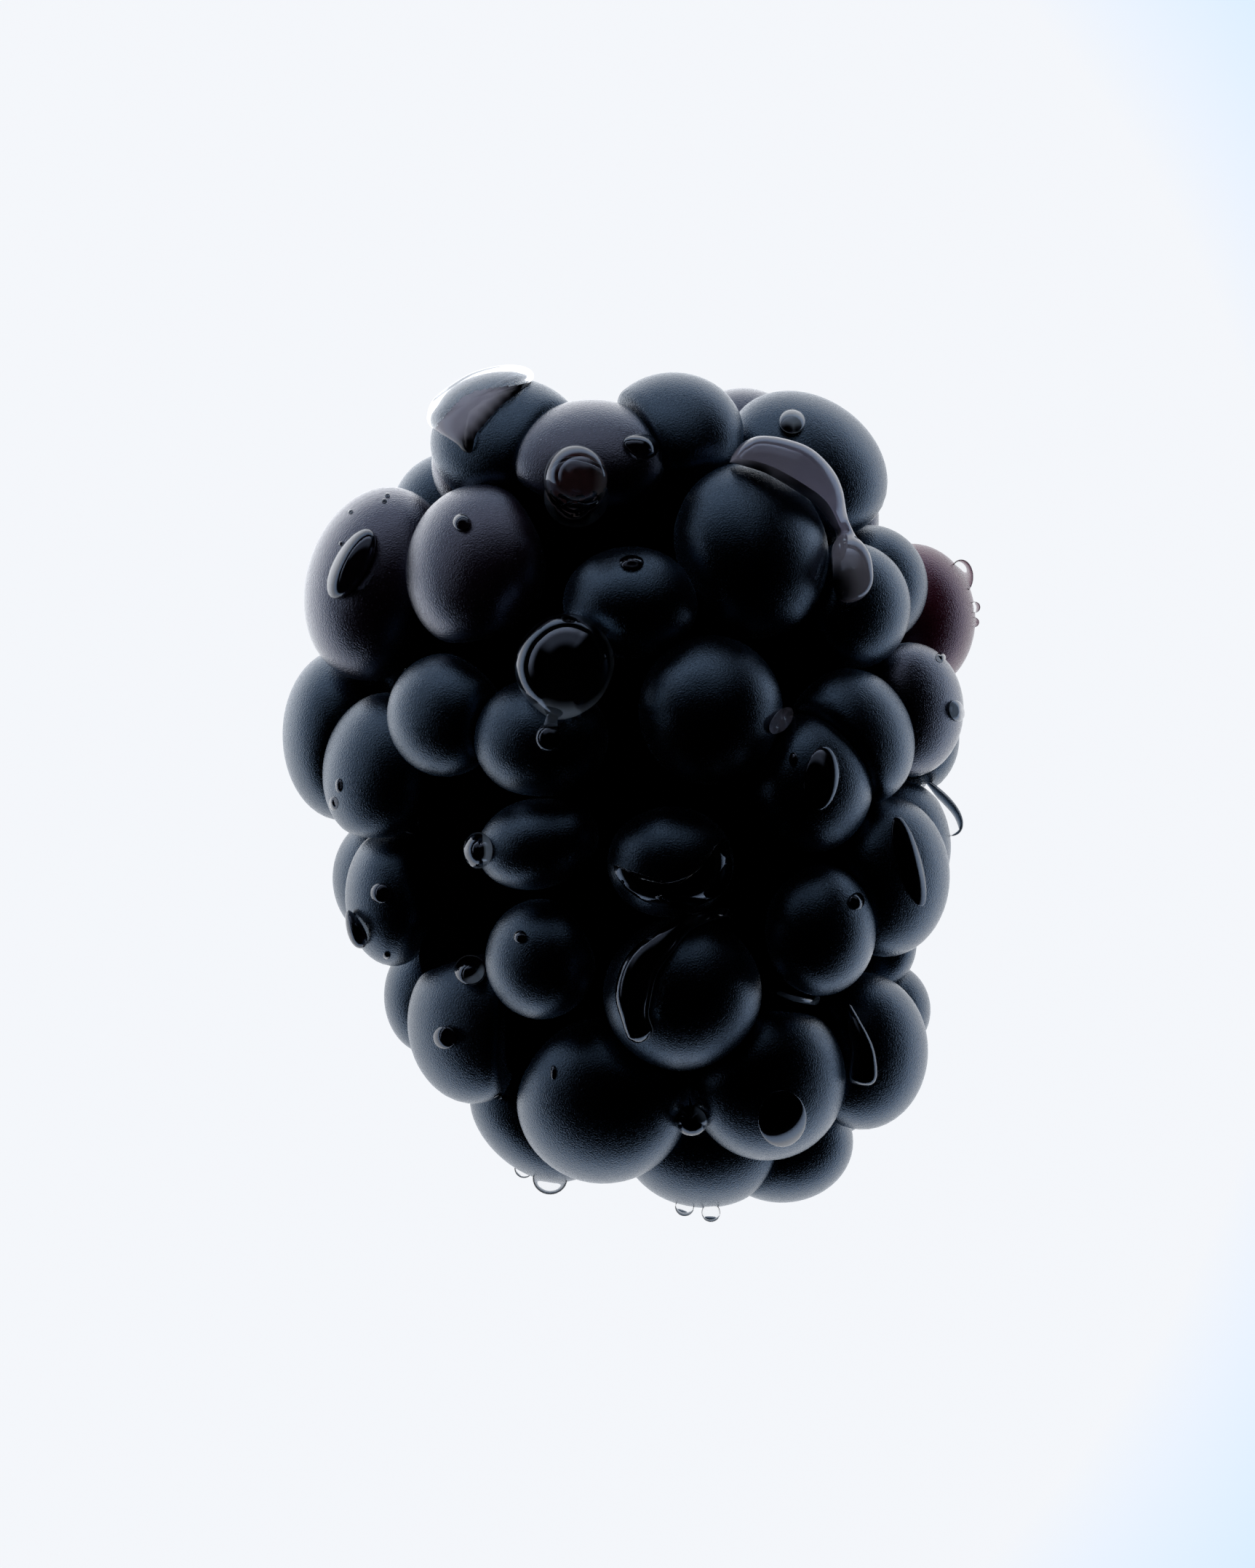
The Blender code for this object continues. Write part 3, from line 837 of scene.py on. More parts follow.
    def build(self, finish: bpy.types.Material, dusky: bpy.types.Material,
              flesh: bpy.types.Material, maroon: bpy.types.Material) -> list[bpy.types.Object]:
        """Make the skin of the upper side and of the underside.

        Each drupelet's dress is 0 black, 1 dusky or purple, 2 deep flesh painted near-black as shade,
        or 3 maroon.

        Args:
            finish: skin of the black drupelets.
            dusky: skin of the purple ones.
            flesh: the deep ones squeezed in between, near-black as painted shade.
            maroon: skin of the unripe red ones.

        Returns:
            The two objects.
        """
        made = []
        parts = (("drupelets_upper", np.arange(self.upper), 48, 30),
                 ("drupelets_under", np.arange(self.upper, len(self.centres)), 40, 24))
        for name, which, segments, rings in parts:
            points = self.surface(which, segments, rings)
            quads, triangles = closed_grid_faces(rings, segments)
            shift = (np.arange(len(which)) * points.shape[1])[:, None, None]
            piece = make_piece(name, points.reshape(-1, 3), (quads[None] + shift).reshape(-1, 4),
                               (triangles[None] + shift).reshape(-1, 3), finish, "skin")
            layer = piece.data.attributes.new("flesh", "FLOAT_COLOR", "POINT")
            layer.data.foreach_set("color", np.repeat(self.flesh[which], points.shape[1], axis=0)
                                   .astype(np.float32).ravel())
            for other in (dusky, flesh, maroon):
                piece.data.materials.append(other)
            dress = np.where(self.flesh[which, 0] >= self.dusky_from, 1, 0).astype(np.int32)
            dress[self.flesh[which, 1] >= self.maroon_from] = 3
            # the squeezed drupelets take the near-black flesh: painted shade
            dress[(which >= len(UPPER_DRUPELETS)) & (which < self.upper)] = 2
            piece.data.polygons.foreach_set("material_index", np.concatenate(
                [np.repeat(dress, len(quads)), np.repeat(dress, len(triangles))]))
            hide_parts("bramble_berry")
            made.append(piece)
        return made


@dataclass
class FleshCore:
    """Flesh between the drupelets, near-black as painted shade: a body turned about the leaning axis.

    Lengths are millimetres.  Its skin lies sink below the envelope, from top at the stem
    end to the same depth under the tip.
    """

    form: BerryForm = FORM
    sink: float = 1.3
    top: float = 11.7
    stations: int = 60
    sides: int = 72

    def build(self, finish: bpy.types.Material) -> bpy.types.Object:
        """Make the body: radius is the envelope's less the sink, closed at both ends.

        Args:
            finish: the near-black flesh, painted shade.

        Returns:
            The new object.
        """
        low = self.form.widest_along - self.form.tip_reach + self.sink
        s = (1.0 - np.cos(np.linspace(0.0, math.pi, self.stations))) / 2
        along = self.top + (low - self.top) * s
        radius = np.maximum(self.form.radius(along) - self.sink, 0.3)
        turn = np.linspace(0.0, 2 * math.pi, self.sides, endpoint=False)
        x = self.form.axis_across(along)[:, None] + radius[:, None] * np.cos(turn)
        z = radius[:, None] * np.sin(turn)
        y = along[:, None] + 0 * turn
        rows = np.stack([x, y, z], -1)[:, ::-1].reshape(-1, 3)
        ends = [[float(self.form.axis_across(self.top)), self.top, 0.0],
                [float(self.form.axis_across(low)), low, 0.0]]
        points = np.concatenate([ends[:1], rows, ends[1:]])
        quads, triangles = closed_grid_faces(self.stations, self.sides)
        piece = make_piece("flesh_core", points, quads, triangles, finish, "skin")
        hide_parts("bramble_berry")
        return piece


@dataclass
class StemScar:
    """The pale, fibrous cup left where the stalk came away."""

    place: tuple[float, float, float] = (-0.4, 12.7, -0.9)
    radius: float = 2.3
    depth: float = 0.75
    thick: float = 1.6
    rings: int = 26
    sides: int = 72

    def build(self, finish: bpy.types.Material) -> bpy.types.Object:
        """Make the cup: a lens of two skins meeting at the rim.

        Over share q of the radius and turn t the front stands back by
        depth * (1 - q^2) less a middle plug 0.8 * exp(-(q / 0.28)^2), ruffled by
        0.07 * q * sin(17 t + 9 q) + 0.05 * sin(31 t) * q^2; the back is a bowl
        thick * (1 - q^2)^(1/2) behind the rim.

        Args:
            finish: the dry flesh.

        Returns:
            The new object.
        """
        q = np.linspace(1.0 / self.rings, 1.0, self.rings)[:, None]
        t = np.linspace(0.0, 2 * math.pi, self.sides, endpoint=False)[None, :]
        wobble = 1.0 + 0.04 * np.sin(3 * t + 1.0) + 0.03 * np.sin(7 * t)
        front = (-self.depth * (1 - q ** 2) + 0.8 * np.exp(-(q / 0.28) ** 2)
                 + 0.07 * q * np.sin(17 * t + 9 * q) + 0.05 * np.sin(31 * t) * q ** 2)
        behind = q[-2::-1]
        back = -self.thick * np.sqrt(1 - behind ** 2) + 0 * t
        share = np.concatenate([q, behind])
        y = np.concatenate([front, back])
        x, z = self.radius * share * wobble * np.sin(t), self.radius * share * wobble * np.cos(t)
        ends = np.array([[0, 0.8 - self.depth, 0], [0, -self.thick, 0]])
        points = np.concatenate([ends[:1], np.stack([x, y, z], -1).reshape(-1, 3), ends[1:]])
        quads, triangles = closed_grid_faces(2 * self.rings - 1, self.sides)
        piece = make_piece("stem_scar", points + self.place, quads, triangles, finish, "skin")
        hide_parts("bramble_berry")
        return piece


# ------------------------------------------------------------------ the water
LARGE_HALF = 0.4      # a bead with a larger half size gets the finer grid
STEEPEST = 3.0        # a drop's rim hangs at most this many half sizes under its middle
LEAST_COVER = 0.05    # its top stands at least this far over the skin in the middle
SKIN_GAP = 0.01       # its underside stands this far over the skin
LINING_REACH = 0.25   # skin this close under a free-hanging part still shows through it
RING_BLUR = 0.14      # how softly a ring of painted rim light ends, as a share of the drop
HOLLOW_BLUR = 0.25    # how softly the dark middle of a run ends against its painted edge light, as a share of its half width
RUN_GAP = 0.02        # a run's corners climb until they stand this far over the skin
RUN_STEPS = 400       # points along a run's path before its stations are chosen
FAR = 99.0            # a skin height that nothing reaches


def cubic(a: Array, b: Array, c: Array, d: Array, t: Array) -> Array:
    """Smooth span from b to c, its slope at a point half the step between the neighbours.

    Args:
        a: the point before the span.
        b: where it starts.
        c: where it ends.
        d: the point after it.
        t: share of the way from b to c.

    Returns:
        b + (c - a) t / 2 + (2a - 5b + 4c - d) t^2 / 2 + (3b - a - 3c + d) t^3 / 2.
    """
    return 0.5 * (2 * b + (c - a) * t + (2 * a - 5 * b + 4 * c - d) * t ** 2
                  + (3 * b - a - 3 * c + d) * t ** 3)


def closed_curve(points: tuple[tuple[float, float], ...], count: int) -> Array:
    """A smooth closed curve through the points, equal numbers of steps between them.

    Args:
        points: corners, counterclockwise.
        count: points of the curve.

    Returns:
        Curve points, shape (count, 2).
    """
    p = np.array(points, float)
    place = np.linspace(0.0, len(p), count, endpoint=False)
    i = place.astype(int)
    t = (place - i)[:, None]
    return cubic(*(p[(i + k) % len(p)] for k in (-1, 0, 1, 2)), t)


def open_curve(points: Array, count: int) -> Array:
    """A smooth curve from the first point to the last, by the same cubics.

    Args:
        points: rows of numbers, shape (n, m).
        count: rows of the curve.

    Returns:
        Curve rows, shape (count, m).
    """
    p = np.asarray(points, float)
    ends = np.concatenate([[2 * p[0] - p[1]], p, [2 * p[-1] - p[-2]]])
    place = np.linspace(0.0, len(p) - 1 - 1e-9, count)
    i = place.astype(int)
    t = (place - i)[:, None]
    return cubic(*(ends[i + k] for k in range(4)), t)


def painted_shade_share(points: Array, spots: tuple[tuple[float, float, float], ...]) -> Array:
    """How far the lining beneath each point is darkened by soft spots of painted shade.

    The share is the smooth step 3 s^2 - 2 s^3 of s = 1.5 * (1 - distance / reach), kept
    from 0 to 1, of the nearest spot.

    Args:
        points: places, shape (n, 3).
        spots: across, along and reach of each spot.

    Returns:
        Shares, shape (n,).
    """
    given = np.array(spots)
    away = np.linalg.norm(points[:, None, :2] - given[None, :, :2], axis=-1)
    share = np.clip(1.5 * (1.0 - away / given[:, 2]), 0.0, 1.0).max(axis=1)
    return share ** 2 * (3 - 2 * share)


class Juice(Enum):
    """What is seen through a drop where it lies on the skin; the milky and pale linings are painted
    light carried through the drop, the red one red juice with painted light.
    """

    WET = "wet skin"
    # the milky and pale linings are painted light; the red one is red juice with a painted light rim
    MILKY_PAINTED_LIGHT = "milky painted light"
    PALE_PAINTED_LIGHT = "pale edge"
    RED_JUICE_AND_PAINTED_LIGHT = "red juice and painted light"
    CLEAR = "bare skin"


class DropMesh(Enum):
    """Rings of a drop's top, rings of its underside and corners of a ring."""

    OUTLINED = (20, 24, 96)
    LARGE = (20, 8, 56)
    SMALL = (12, 4, 32)


@dataclass(frozen=True)
class Water:
    """What every drop has: its name and, by keyword, what it stands for and shows.

    A drop of the record replaces its own node, or the node that is named.  Dark holds the
    soft dark spots of its lining, painted shade: across, along and reach.  Plain water shines less.
    """

    name: str
    in_cad: bool = field(default=True, kw_only=True)
    node: str = field(default="", kw_only=True)
    juice: Juice = field(default=Juice.WET, kw_only=True)
    # soft dark spots of painted shade in the lining
    dark: tuple[tuple[float, float, float], ...] = field(default=(), kw_only=True)
    plain: bool = field(default=False, kw_only=True)

    def make(self, points: Array, rings: int, segments: int, finish: bpy.types.Material,
             wet_and_painted_light: bpy.types.Material | None, on_skin: Array,
             shade: Array | None = None) -> bpy.types.Object:
        """Make the drop's object, with the lining's shade kept at its corners.

        Args:
            points: corners of a closed grid.
            rings: its rings between the poles.
            segments: corners of one ring.
            finish: the water.
            wet_and_painted_light: the skin seen through it, or a lining of painted light; None where
                the bare skin shows.
            on_skin: which corners' faces show that skin.
            shade: how far each corner's painted light gives way to the lining's deep colour, if not
                by the spots.

        Returns:
            The new object.
        """
        piece = make_piece(self.name, points, *closed_grid_faces(rings, segments), finish, "water",
                           (wet_and_painted_light, on_skin) if wet_and_painted_light else None)
        # the dark spots darken the lining: painted shade
        if shade is None and self.dark:
            shade = painted_shade_share(points, self.dark)
        if shade is not None:
            layer = piece.data.attributes.new("shade", "FLOAT", "POINT")
            layer.data.foreach_set("value", np.clip(shade, 0.0, 1.0).astype(np.float32))
        if self.in_cad:
            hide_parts(self.node or self.name)
        return piece


@dataclass(frozen=True)
class WaterBead(Water):
    """A drop lying on the skin, domed over its outline as seen from above.

    Lengths are millimetres.  The outline is an ellipse, narrowed towards one end by
    taper, or a closed curve through the given corners.
    """

    place: tuple[float, float] = (0.0, 0.0)
    half: tuple[float, float] = (0.5, 0.5)
    lean: float = 0.0
    rise: float = 0.6
    taper: float = 0.0
    corners: tuple[tuple[float, float], ...] = ()
    heights: tuple[float, float] | None = None
    lift: float = 0.0
    droop: float = 1.2
    power: float = 0.5
    over: tuple[int, float] | None = None
    floating: bool = False
    # share within which the lining is deep in colour; pale painted rim light outside it
    ring: float = 0.0

    def outline(self, count: int) -> Array:
        """The edge seen from above, relative to the place.

        The ellipse is (a cos t * (1 - taper * sin t), b sin t), turned by the lean.

        Args:
            count: corners.

        Returns:
            Corners, shape (count, 2).
        """
        if self.corners:
            return closed_curve(self.corners, count) - self.place
        turn = np.linspace(0.0, 2 * math.pi, count, endpoint=False)
        x = self.half[0] * np.cos(turn) * (1.0 - self.taper * np.sin(turn))
        y = self.half[1] * np.sin(turn)
        c, s = math.cos(math.radians(self.lean)), math.sin(math.radians(self.lean))
        return np.stack([c * x - s * y, s * x + c * y], axis=-1)

    def build(self, cluster: DrupeletCluster, finish: bpy.types.Material,
              wet_and_painted_light: bpy.types.Material | None) -> bpy.types.Object:
        """Make the drop.

        With q the share of the way from the middle to the edge, the top is
        middle height * (1 - q^2) + edge height * q^2 + rise * (1 - q^2)^power, and the
        underside lies just inside the skin, or hangs free by droop * (1 - q^2)^power.  With
        a ring, the lining beneath is pale at the edge, painted rim light, and deep in colour within
        that share.

        Args:
            cluster: the skin it lies on.
            finish: the water.
            wet_and_painted_light: the skin seen through it, or a lining of painted light; None where
                the bare skin shows.

        Returns:
            The new object.
        """
        large = max(self.half) > LARGE_HALF
        mesh = DropMesh.OUTLINED if self.corners else DropMesh.LARGE if large else DropMesh.SMALL
        top_rings, low_rings, count = mesh.value
        edge = self.outline(count)
        q_top = np.sin(0.5 * math.pi * np.arange(1, top_rings + 1) / top_rings)
        q_low = np.sin(0.5 * math.pi * np.linspace(1.0, 0.0, low_rings + 1)[:-1])
        q = np.concatenate([[0.0], np.repeat(q_top, count), np.repeat(q_low, count), [0.0]])
        around = np.concatenate([[0], np.tile(np.arange(count), top_rings + low_rings), [0]])
        level = np.asarray(self.place) + q[:, None] * edge[around]
        skin = cluster.hit(np.column_stack([level, 0 * q]), UP)
        if self.floating:
            skin = np.full_like(skin, -FAR)
        rim = skin[1 + (top_rings - 1) * count:1 + top_rings * count]
        if self.heights is not None:
            middle = self.heights[0]
            rim = np.maximum(rim + self.lift, self.heights[1])
        else:
            middle = max(float(skin[0]), float(rim[np.isfinite(rim)].mean())) + self.lift
            rim = np.maximum(rim + self.lift, middle - STEEPEST * max(self.half))
        dome = np.maximum(1.0 - q ** 2, 0.0)
        base = middle * dome + rim[around] * q ** 2
        if self.over is not None:
            base = cluster.swollen(self.over[0], level, q, edge + self.place, around, self.over[1])
        top = np.maximum(base + self.rise * dome ** self.power, skin + LEAST_COVER * dome)
        free = base - self.droop * dome ** self.power
        low = np.maximum(skin + SKIN_GAP * dome, free)
        upper = np.arange(len(q)) < 1 + top_rings * count
        upper[-1] = False
        height = np.where(upper, top, np.minimum(low, top - SKIN_GAP))
        points = np.column_stack([level, height])
        on_skin = ~upper & ((skin >= free - LINING_REACH) | (self.over is None))
        # a ring of painted rim light in the lining, deep in colour within
        shade = (self.ring + RING_BLUR - q) / RING_BLUR if self.ring else None
        return self.make(points, top_rings + low_rings, count, finish, wet_and_painted_light, on_skin, shade)


@dataclass(frozen=True)
class WaterBall(Water):
    """A round drop that clings to a steep side, its back sunk in the skin."""

    place: tuple[float, float, float] = (0.0, 0.0, 0.0)
    half: tuple[float, float, float] = (0.5, 0.5, 0.5)
    rings: int = 18
    sides: int = 32
    juice: Juice = field(default=Juice.CLEAR, kw_only=True)
    plain: bool = field(default=True, kw_only=True)

    def build(self, cluster: DrupeletCluster, finish: bpy.types.Material,
              wet_and_painted_light: bpy.types.Material | None) -> bpy.types.Object:
        """Make the drop: an ellipsoid over a grid of polar angle and turn.

        Args:
            cluster: not needed, because the place is given.
            finish: the water.
            wet_and_painted_light: None, because the drop shows no lining.

        Returns:
            The new object.
        """
        points = ball_points(self.rings, self.sides) * self.half + self.place
        return self.make(points, self.rings, self.sides, finish, wet_and_painted_light, np.zeros(len(points), bool))


@dataclass(frozen=True)
class WaterRun(Water):
    """A run of water along a path, its rows being across, along and half width.

    Lengths are millimetres; tall and lift are shares of the half width.  Hollow is the
    share of the width over which its lining is deep in colour; outside it the pale lining is painted
    edge light.
    """

    path: tuple[tuple[float, float, float], ...] = ()
    tall: float = 0.75
    lift: float = 0.1
    bridge: int = 60
    climb: float = 0.0
    # share of the width with a deep-coloured lining; painted edge light outside it
    lined: float = -0.2
    hollow: float = 0.0
    heights: tuple[float, float] | None = None
    stations: int = 90
    sides: int = 24
    flat_under: float = -0.6

    def build(self, cluster: DrupeletCluster, finish: bpy.types.Material,
              wet_and_painted_light: bpy.types.Material | None) -> bpy.types.Object:
        """Make the run: an ellipse carried along the path with rounded ends.

        A corner of a ring is middle + wide * cos(t) * side + (tall * wide * sin(t) +
        lift * wide) * out, where the sine is kept above flat_under.
        The middle line lies on the skin, pulled taut over the clefts: again and again
        each height becomes the larger of the skin and the mean of its neighbours.

        Args:
            cluster: the skin it lies on.
            finish: the water.
            wet_and_painted_light: the skin seen through it, or a lining of painted light; None where
                the bare skin shows.

        Returns:
            The new object.
        """
        stations, count = self.stations, self.sides
        line = open_curve(np.array(self.path), RUN_STEPS)
        steps = np.linalg.norm(np.diff(line[:, :2], axis=0), axis=1)
        walked = np.concatenate([[0.0], np.cumsum(steps)])
        spot = walked[-1] * (1.0 - np.cos(np.linspace(0.02, math.pi - 0.02, stations))) / 2
        x, y, wide = (np.interp(spot, walked, line[:, k]) for k in range(3))
        skin = cluster.hit(np.column_stack([x, y, 0 * x]), UP)
        if self.heights is not None:
            skin = np.maximum(skin, np.interp(spot, [0.0, walked[-1]], self.heights))
        even = np.linspace(0.0, walked[-1], stations)
        taut = ground = np.interp(even, spot, skin)
        for _ in range(self.bridge):
            beside = np.pad(taut, 1, mode="edge")
            taut = np.maximum(ground, (beside[:-2] + beside[2:]) / 2)
        z = np.interp(spot, even, taut)
        middle = np.column_stack([x, y, z])
        ahead = unit(np.gradient(middle, axis=0))
        out = cluster.normal(middle)
        out = unit(out - (out * ahead).sum(1, keepdims=True) * ahead)
        side = np.cross(ahead, out)
        gap = np.minimum(spot, walked[-1] - spot)
        cap = np.sqrt(np.clip(2 * wide * gap - gap ** 2, 1e-6, None))
        wide = np.where(gap < wide, np.minimum(wide, cap), wide)[:, None, None]
        turn = np.linspace(0.0, 2 * math.pi, count, endpoint=False)[None, :, None]
        height = self.tall * wide * np.maximum(np.sin(turn), self.flat_under)
        rings = (middle[:, None] + wide * np.cos(turn) * side[:, None]
                 + (height + self.lift * wide) * out[:, None])
        points = np.concatenate([middle[:1], rings.reshape(-1, 3), middle[-1:]])
        sunk_by = cluster.hit(points * [1, 1, 0], UP) + RUN_GAP - points[:, 2]
        points[:, 2] += np.clip(sunk_by, 0.0, self.climb)
        sunk = np.broadcast_to(np.sin(turn) < self.lined, (stations, count, 1)).reshape(-1)
        on_skin = np.concatenate([[True], sunk, [True]])
        shade = None
        # a hollow keeps painted light at the run's edges and the deep colour in its middle
        if self.hollow:
            share = (self.hollow + HOLLOW_BLUR - np.abs(np.cos(turn[0, :, 0]))) / HOLLOW_BLUR
            shade = np.concatenate([[0.0], np.tile(share, stations), [0.0]])
        return self.make(points, stations, count, finish, wet_and_painted_light, on_skin, shade)


# milky and pale linings below are painted light seen through the drops; their dark spots, rings and
# hollows are painted shade
WATER = (
    WaterBead("water_sheet_crown", (-5.5, 13.25), corners=(
        (-5.2, 12.15), (-4.75, 12.7), (-4.35, 13.15), (-3.7, 13.65), (-3.25, 14.15), (-3.55, 14.5),
        (-4.35, 14.56), (-5.35, 14.32), (-6.15, 13.85), (-6.7, 13.4), (-6.9, 12.9), (-6.85, 12.55),
        (-6.5, 12.25), (-5.9, 11.85), (-5.6, 11.55), (-5.35, 11.6)), rise=0.0, droop=0.4,
        over=(0, 0.16), dark=tuple((-3.3 - 0.25 * k, 13.95 - 0.28 * k, 0.75) for k in range(9)),
        juice=Juice.MILKY_PAINTED_LIGHT, plain=True),
    WaterBead("water_drop_brow_oval", (-1.82, 10.58), (1.08, 1.16), rise=0.9, lift=0.4,
              ring=0.42, juice=Juice.RED_JUICE_AND_PAINTED_LIGHT),
    WaterBead("drop_brow_oval_foot", (-1.8, 9.98), (1.1, 1.02), rise=0.5, lift=0.1,
              ring=0.6, juice=Juice.PALE_PAINTED_LIGHT, node="water_drop_brow_oval"),
    WaterBead("water_bead_brow", (0.38, 11.73), (0.42, 0.62), lean=75, rise=0.5, taper=0.25),
    WaterBead("water_bead_crown_right", (5.56, 12.63), (0.46, 0.43), rise=0.45, lift=0.12,
              dark=((5.56, 12.99, 0.36), (5.75, 12.27, 0.36), (5.4, 12.27, 0.36)), juice=Juice.PALE_PAINTED_LIGHT),
    WaterRun("water_run_shoulder", ((3.4, 11.15, 0.5), (3.9, 11.02, 0.68), (4.6, 10.8, 0.86),
                                    (5.3, 10.42, 0.98), (5.95, 9.98, 0.88), (6.45, 9.4, 0.66),
                                    (6.85, 8.85, 0.46), (7.1, 8.35, 0.46), (7.35, 7.75, 0.66),
                                    (7.4, 7.15, 0.72), (7.3, 6.4, 0.7)), tall=0.8, lift=0.75,
             bridge=220, climb=0.7, lined=0.2, juice=Juice.MILKY_PAINTED_LIGHT,
             dark=((4.3, 10.6, 0.75), (4.9, 10.2, 0.6), (7.0, 7.0, 1.0))),
    WaterBead("water_bead_left_cheek", (-5.7, 9.13), (0.3, 0.3), rise=0.3, lift=0.08),
    WaterBead("water_drop_left_shoulder", (-9.5, 7.78), (0.6, 1.35), lean=-30, rise=0.75,
              lift=0.15, power=0.45, droop=4.0),
    WaterBead("water_bead_upper_middle", (0.08, 7.75), (0.42, 0.25), rise=0.28, lift=0.05),
    WaterBead("water_drop_centre_left", (-2.2, 4.35), corners=(
        (-0.5, 4.4), (-0.75, 5.2), (-1.35, 5.82), (-2.15, 6.02), (-2.95, 5.78), (-3.6, 5.15),
        (-3.88, 4.3), (-3.72, 3.5), (-3.2, 2.85), (-2.6, 2.45), (-1.9, 2.5), (-1.15, 2.95),
        (-0.7, 3.6)), rise=1.4, heights=(10.9, 10.7), droop=0.9, ring=0.45, juice=Juice.PALE_PAINTED_LIGHT),
    WaterRun("drop_centre_left_neck", ((-2.45, 3.0, 0.3), (-2.6, 2.5, 0.2), (-2.68, 2.05, 0.3)),
             heights=(11.2, 11.3), juice=Juice.PALE_PAINTED_LIGHT, node="water_drop_centre_left"),
    WaterBead("drop_centre_left_tail", (-2.69, 1.8), (0.48, 0.48), rise=0.4, lift=0.3, power=0.4,
              ring=0.4, juice=Juice.PALE_PAINTED_LIGHT, node="water_drop_centre_left"),
    WaterBall("water_bead_right_shoulder", (11.45, 7.4, -2.3), (0.42, 0.6, 0.25)),
    WaterBead("water_run_right_rim", (10.68, -0.54), (0.47, 1.12), lean=33, taper=0.35, rise=0.3,
              heights=(0.3, 0.2), droop=0.3, floating=True, juice=Juice.CLEAR, plain=True),
    WaterBead("water_drop_right_inner", (6.5, 0.45), (0.6, 1.1), lean=-8, rise=0.25, droop=4.0),
    WaterBead("water_drop_right_waist", (9.52, -2.38), (0.42, 1.6), lean=16, rise=0.15, droop=4.0),
    WaterBead("water_bead_left_waist", (-8.5, -3.48), (0.36, 0.36), rise=0.28, lift=0.15, power=0.35),
    WaterBead("water_bead_left_waist_edge", (-9.38, -4.72), (0.3, 0.7), lean=22, taper=0.3, rise=0.4,
              heights=(2.4, 2.2), droop=0.4),
    WaterBead("water_bead_centre_left", (-5.12, -2.0), (0.5, 0.62), rise=0.5, heights=(9.0, 8.7),
              droop=0.5, power=0.7, ring=0.4, juice=Juice.PALE_PAINTED_LIGHT),
    WaterBead("water_bead_left_hip_top", (-5.42, -6.1), (0.55, 0.52), rise=0.6, lift=0.35,
              power=0.4, ring=0.4, juice=Juice.PALE_PAINTED_LIGHT),
    WaterBead("water_bead_left_hip", (-6.3, -8.4), (0.4, 0.4), rise=0.3, lift=0.2, power=0.35),
    WaterRun("water_run_belly", ((3.5, -4.2, 0.15), (2.6, -4.36, 0.2), (1.85, -4.68, 0.3),
                                 (1.2, -5.3, 0.45), (0.62, -6.0, 0.58), (0.38, -6.8, 0.6),
                                 (0.38, -7.5, 0.46), (0.58, -8.1, 0.44), (0.72, -8.35, 0.4)),
             tall=1.15, lift=0.8, climb=0.5, hollow=0.72, juice=Juice.PALE_PAINTED_LIGHT),
    WaterBead("water_film_centre", (1.6, -3.2), corners=(
        (3.2, -1.6), (2.9, -1.9), (2.4, -2.6), (1.4, -3.05), (0.4, -2.95), (-0.5, -2.5), (-0.2, -3.2),
        (0.7, -3.8), (1.9, -3.95), (2.9, -3.6), (3.45, -2.9), (3.4, -2.0)), rise=0.16),
    WaterRun("water_run_right_hip", ((7.3, -7.25, 0.2), (7.6, -8.0, 0.3), (7.85, -8.8, 0.42),
                                     (7.85, -9.5, 0.52), (7.75, -10.05, 0.5)), tall=1.0, lift=0.6,
             climb=0.5, hollow=0.78, juice=Juice.PALE_PAINTED_LIGHT),
    WaterBead("water_bead_foot_gap", (2.12, -11.2), (0.56, 0.53), rise=0.45, heights=(6.6, 6.4),
              droop=0.5, ring=0.5, juice=Juice.PALE_PAINTED_LIGHT),
    WaterBead("water_drop_foot_right", (5.2, -11.13), (0.83, 0.98), rise=0.2, power=0.35),
    WaterBall("water_bead_tip_left_a", (-3.62, -12.98, -0.6), (0.33, 0.33, 0.2)),
    WaterBall("water_bead_tip_left_b", (-2.72, -13.3, 0.2), (0.6, 0.56, 0.3)),
    WaterBall("water_bead_tip_a", (1.9, -14.25, 1.2), (0.33, 0.33, 0.26)),
    WaterBall("water_bead_tip_b", (2.8, -14.45, 1.2), (0.33, 0.33, 0.26)),
)
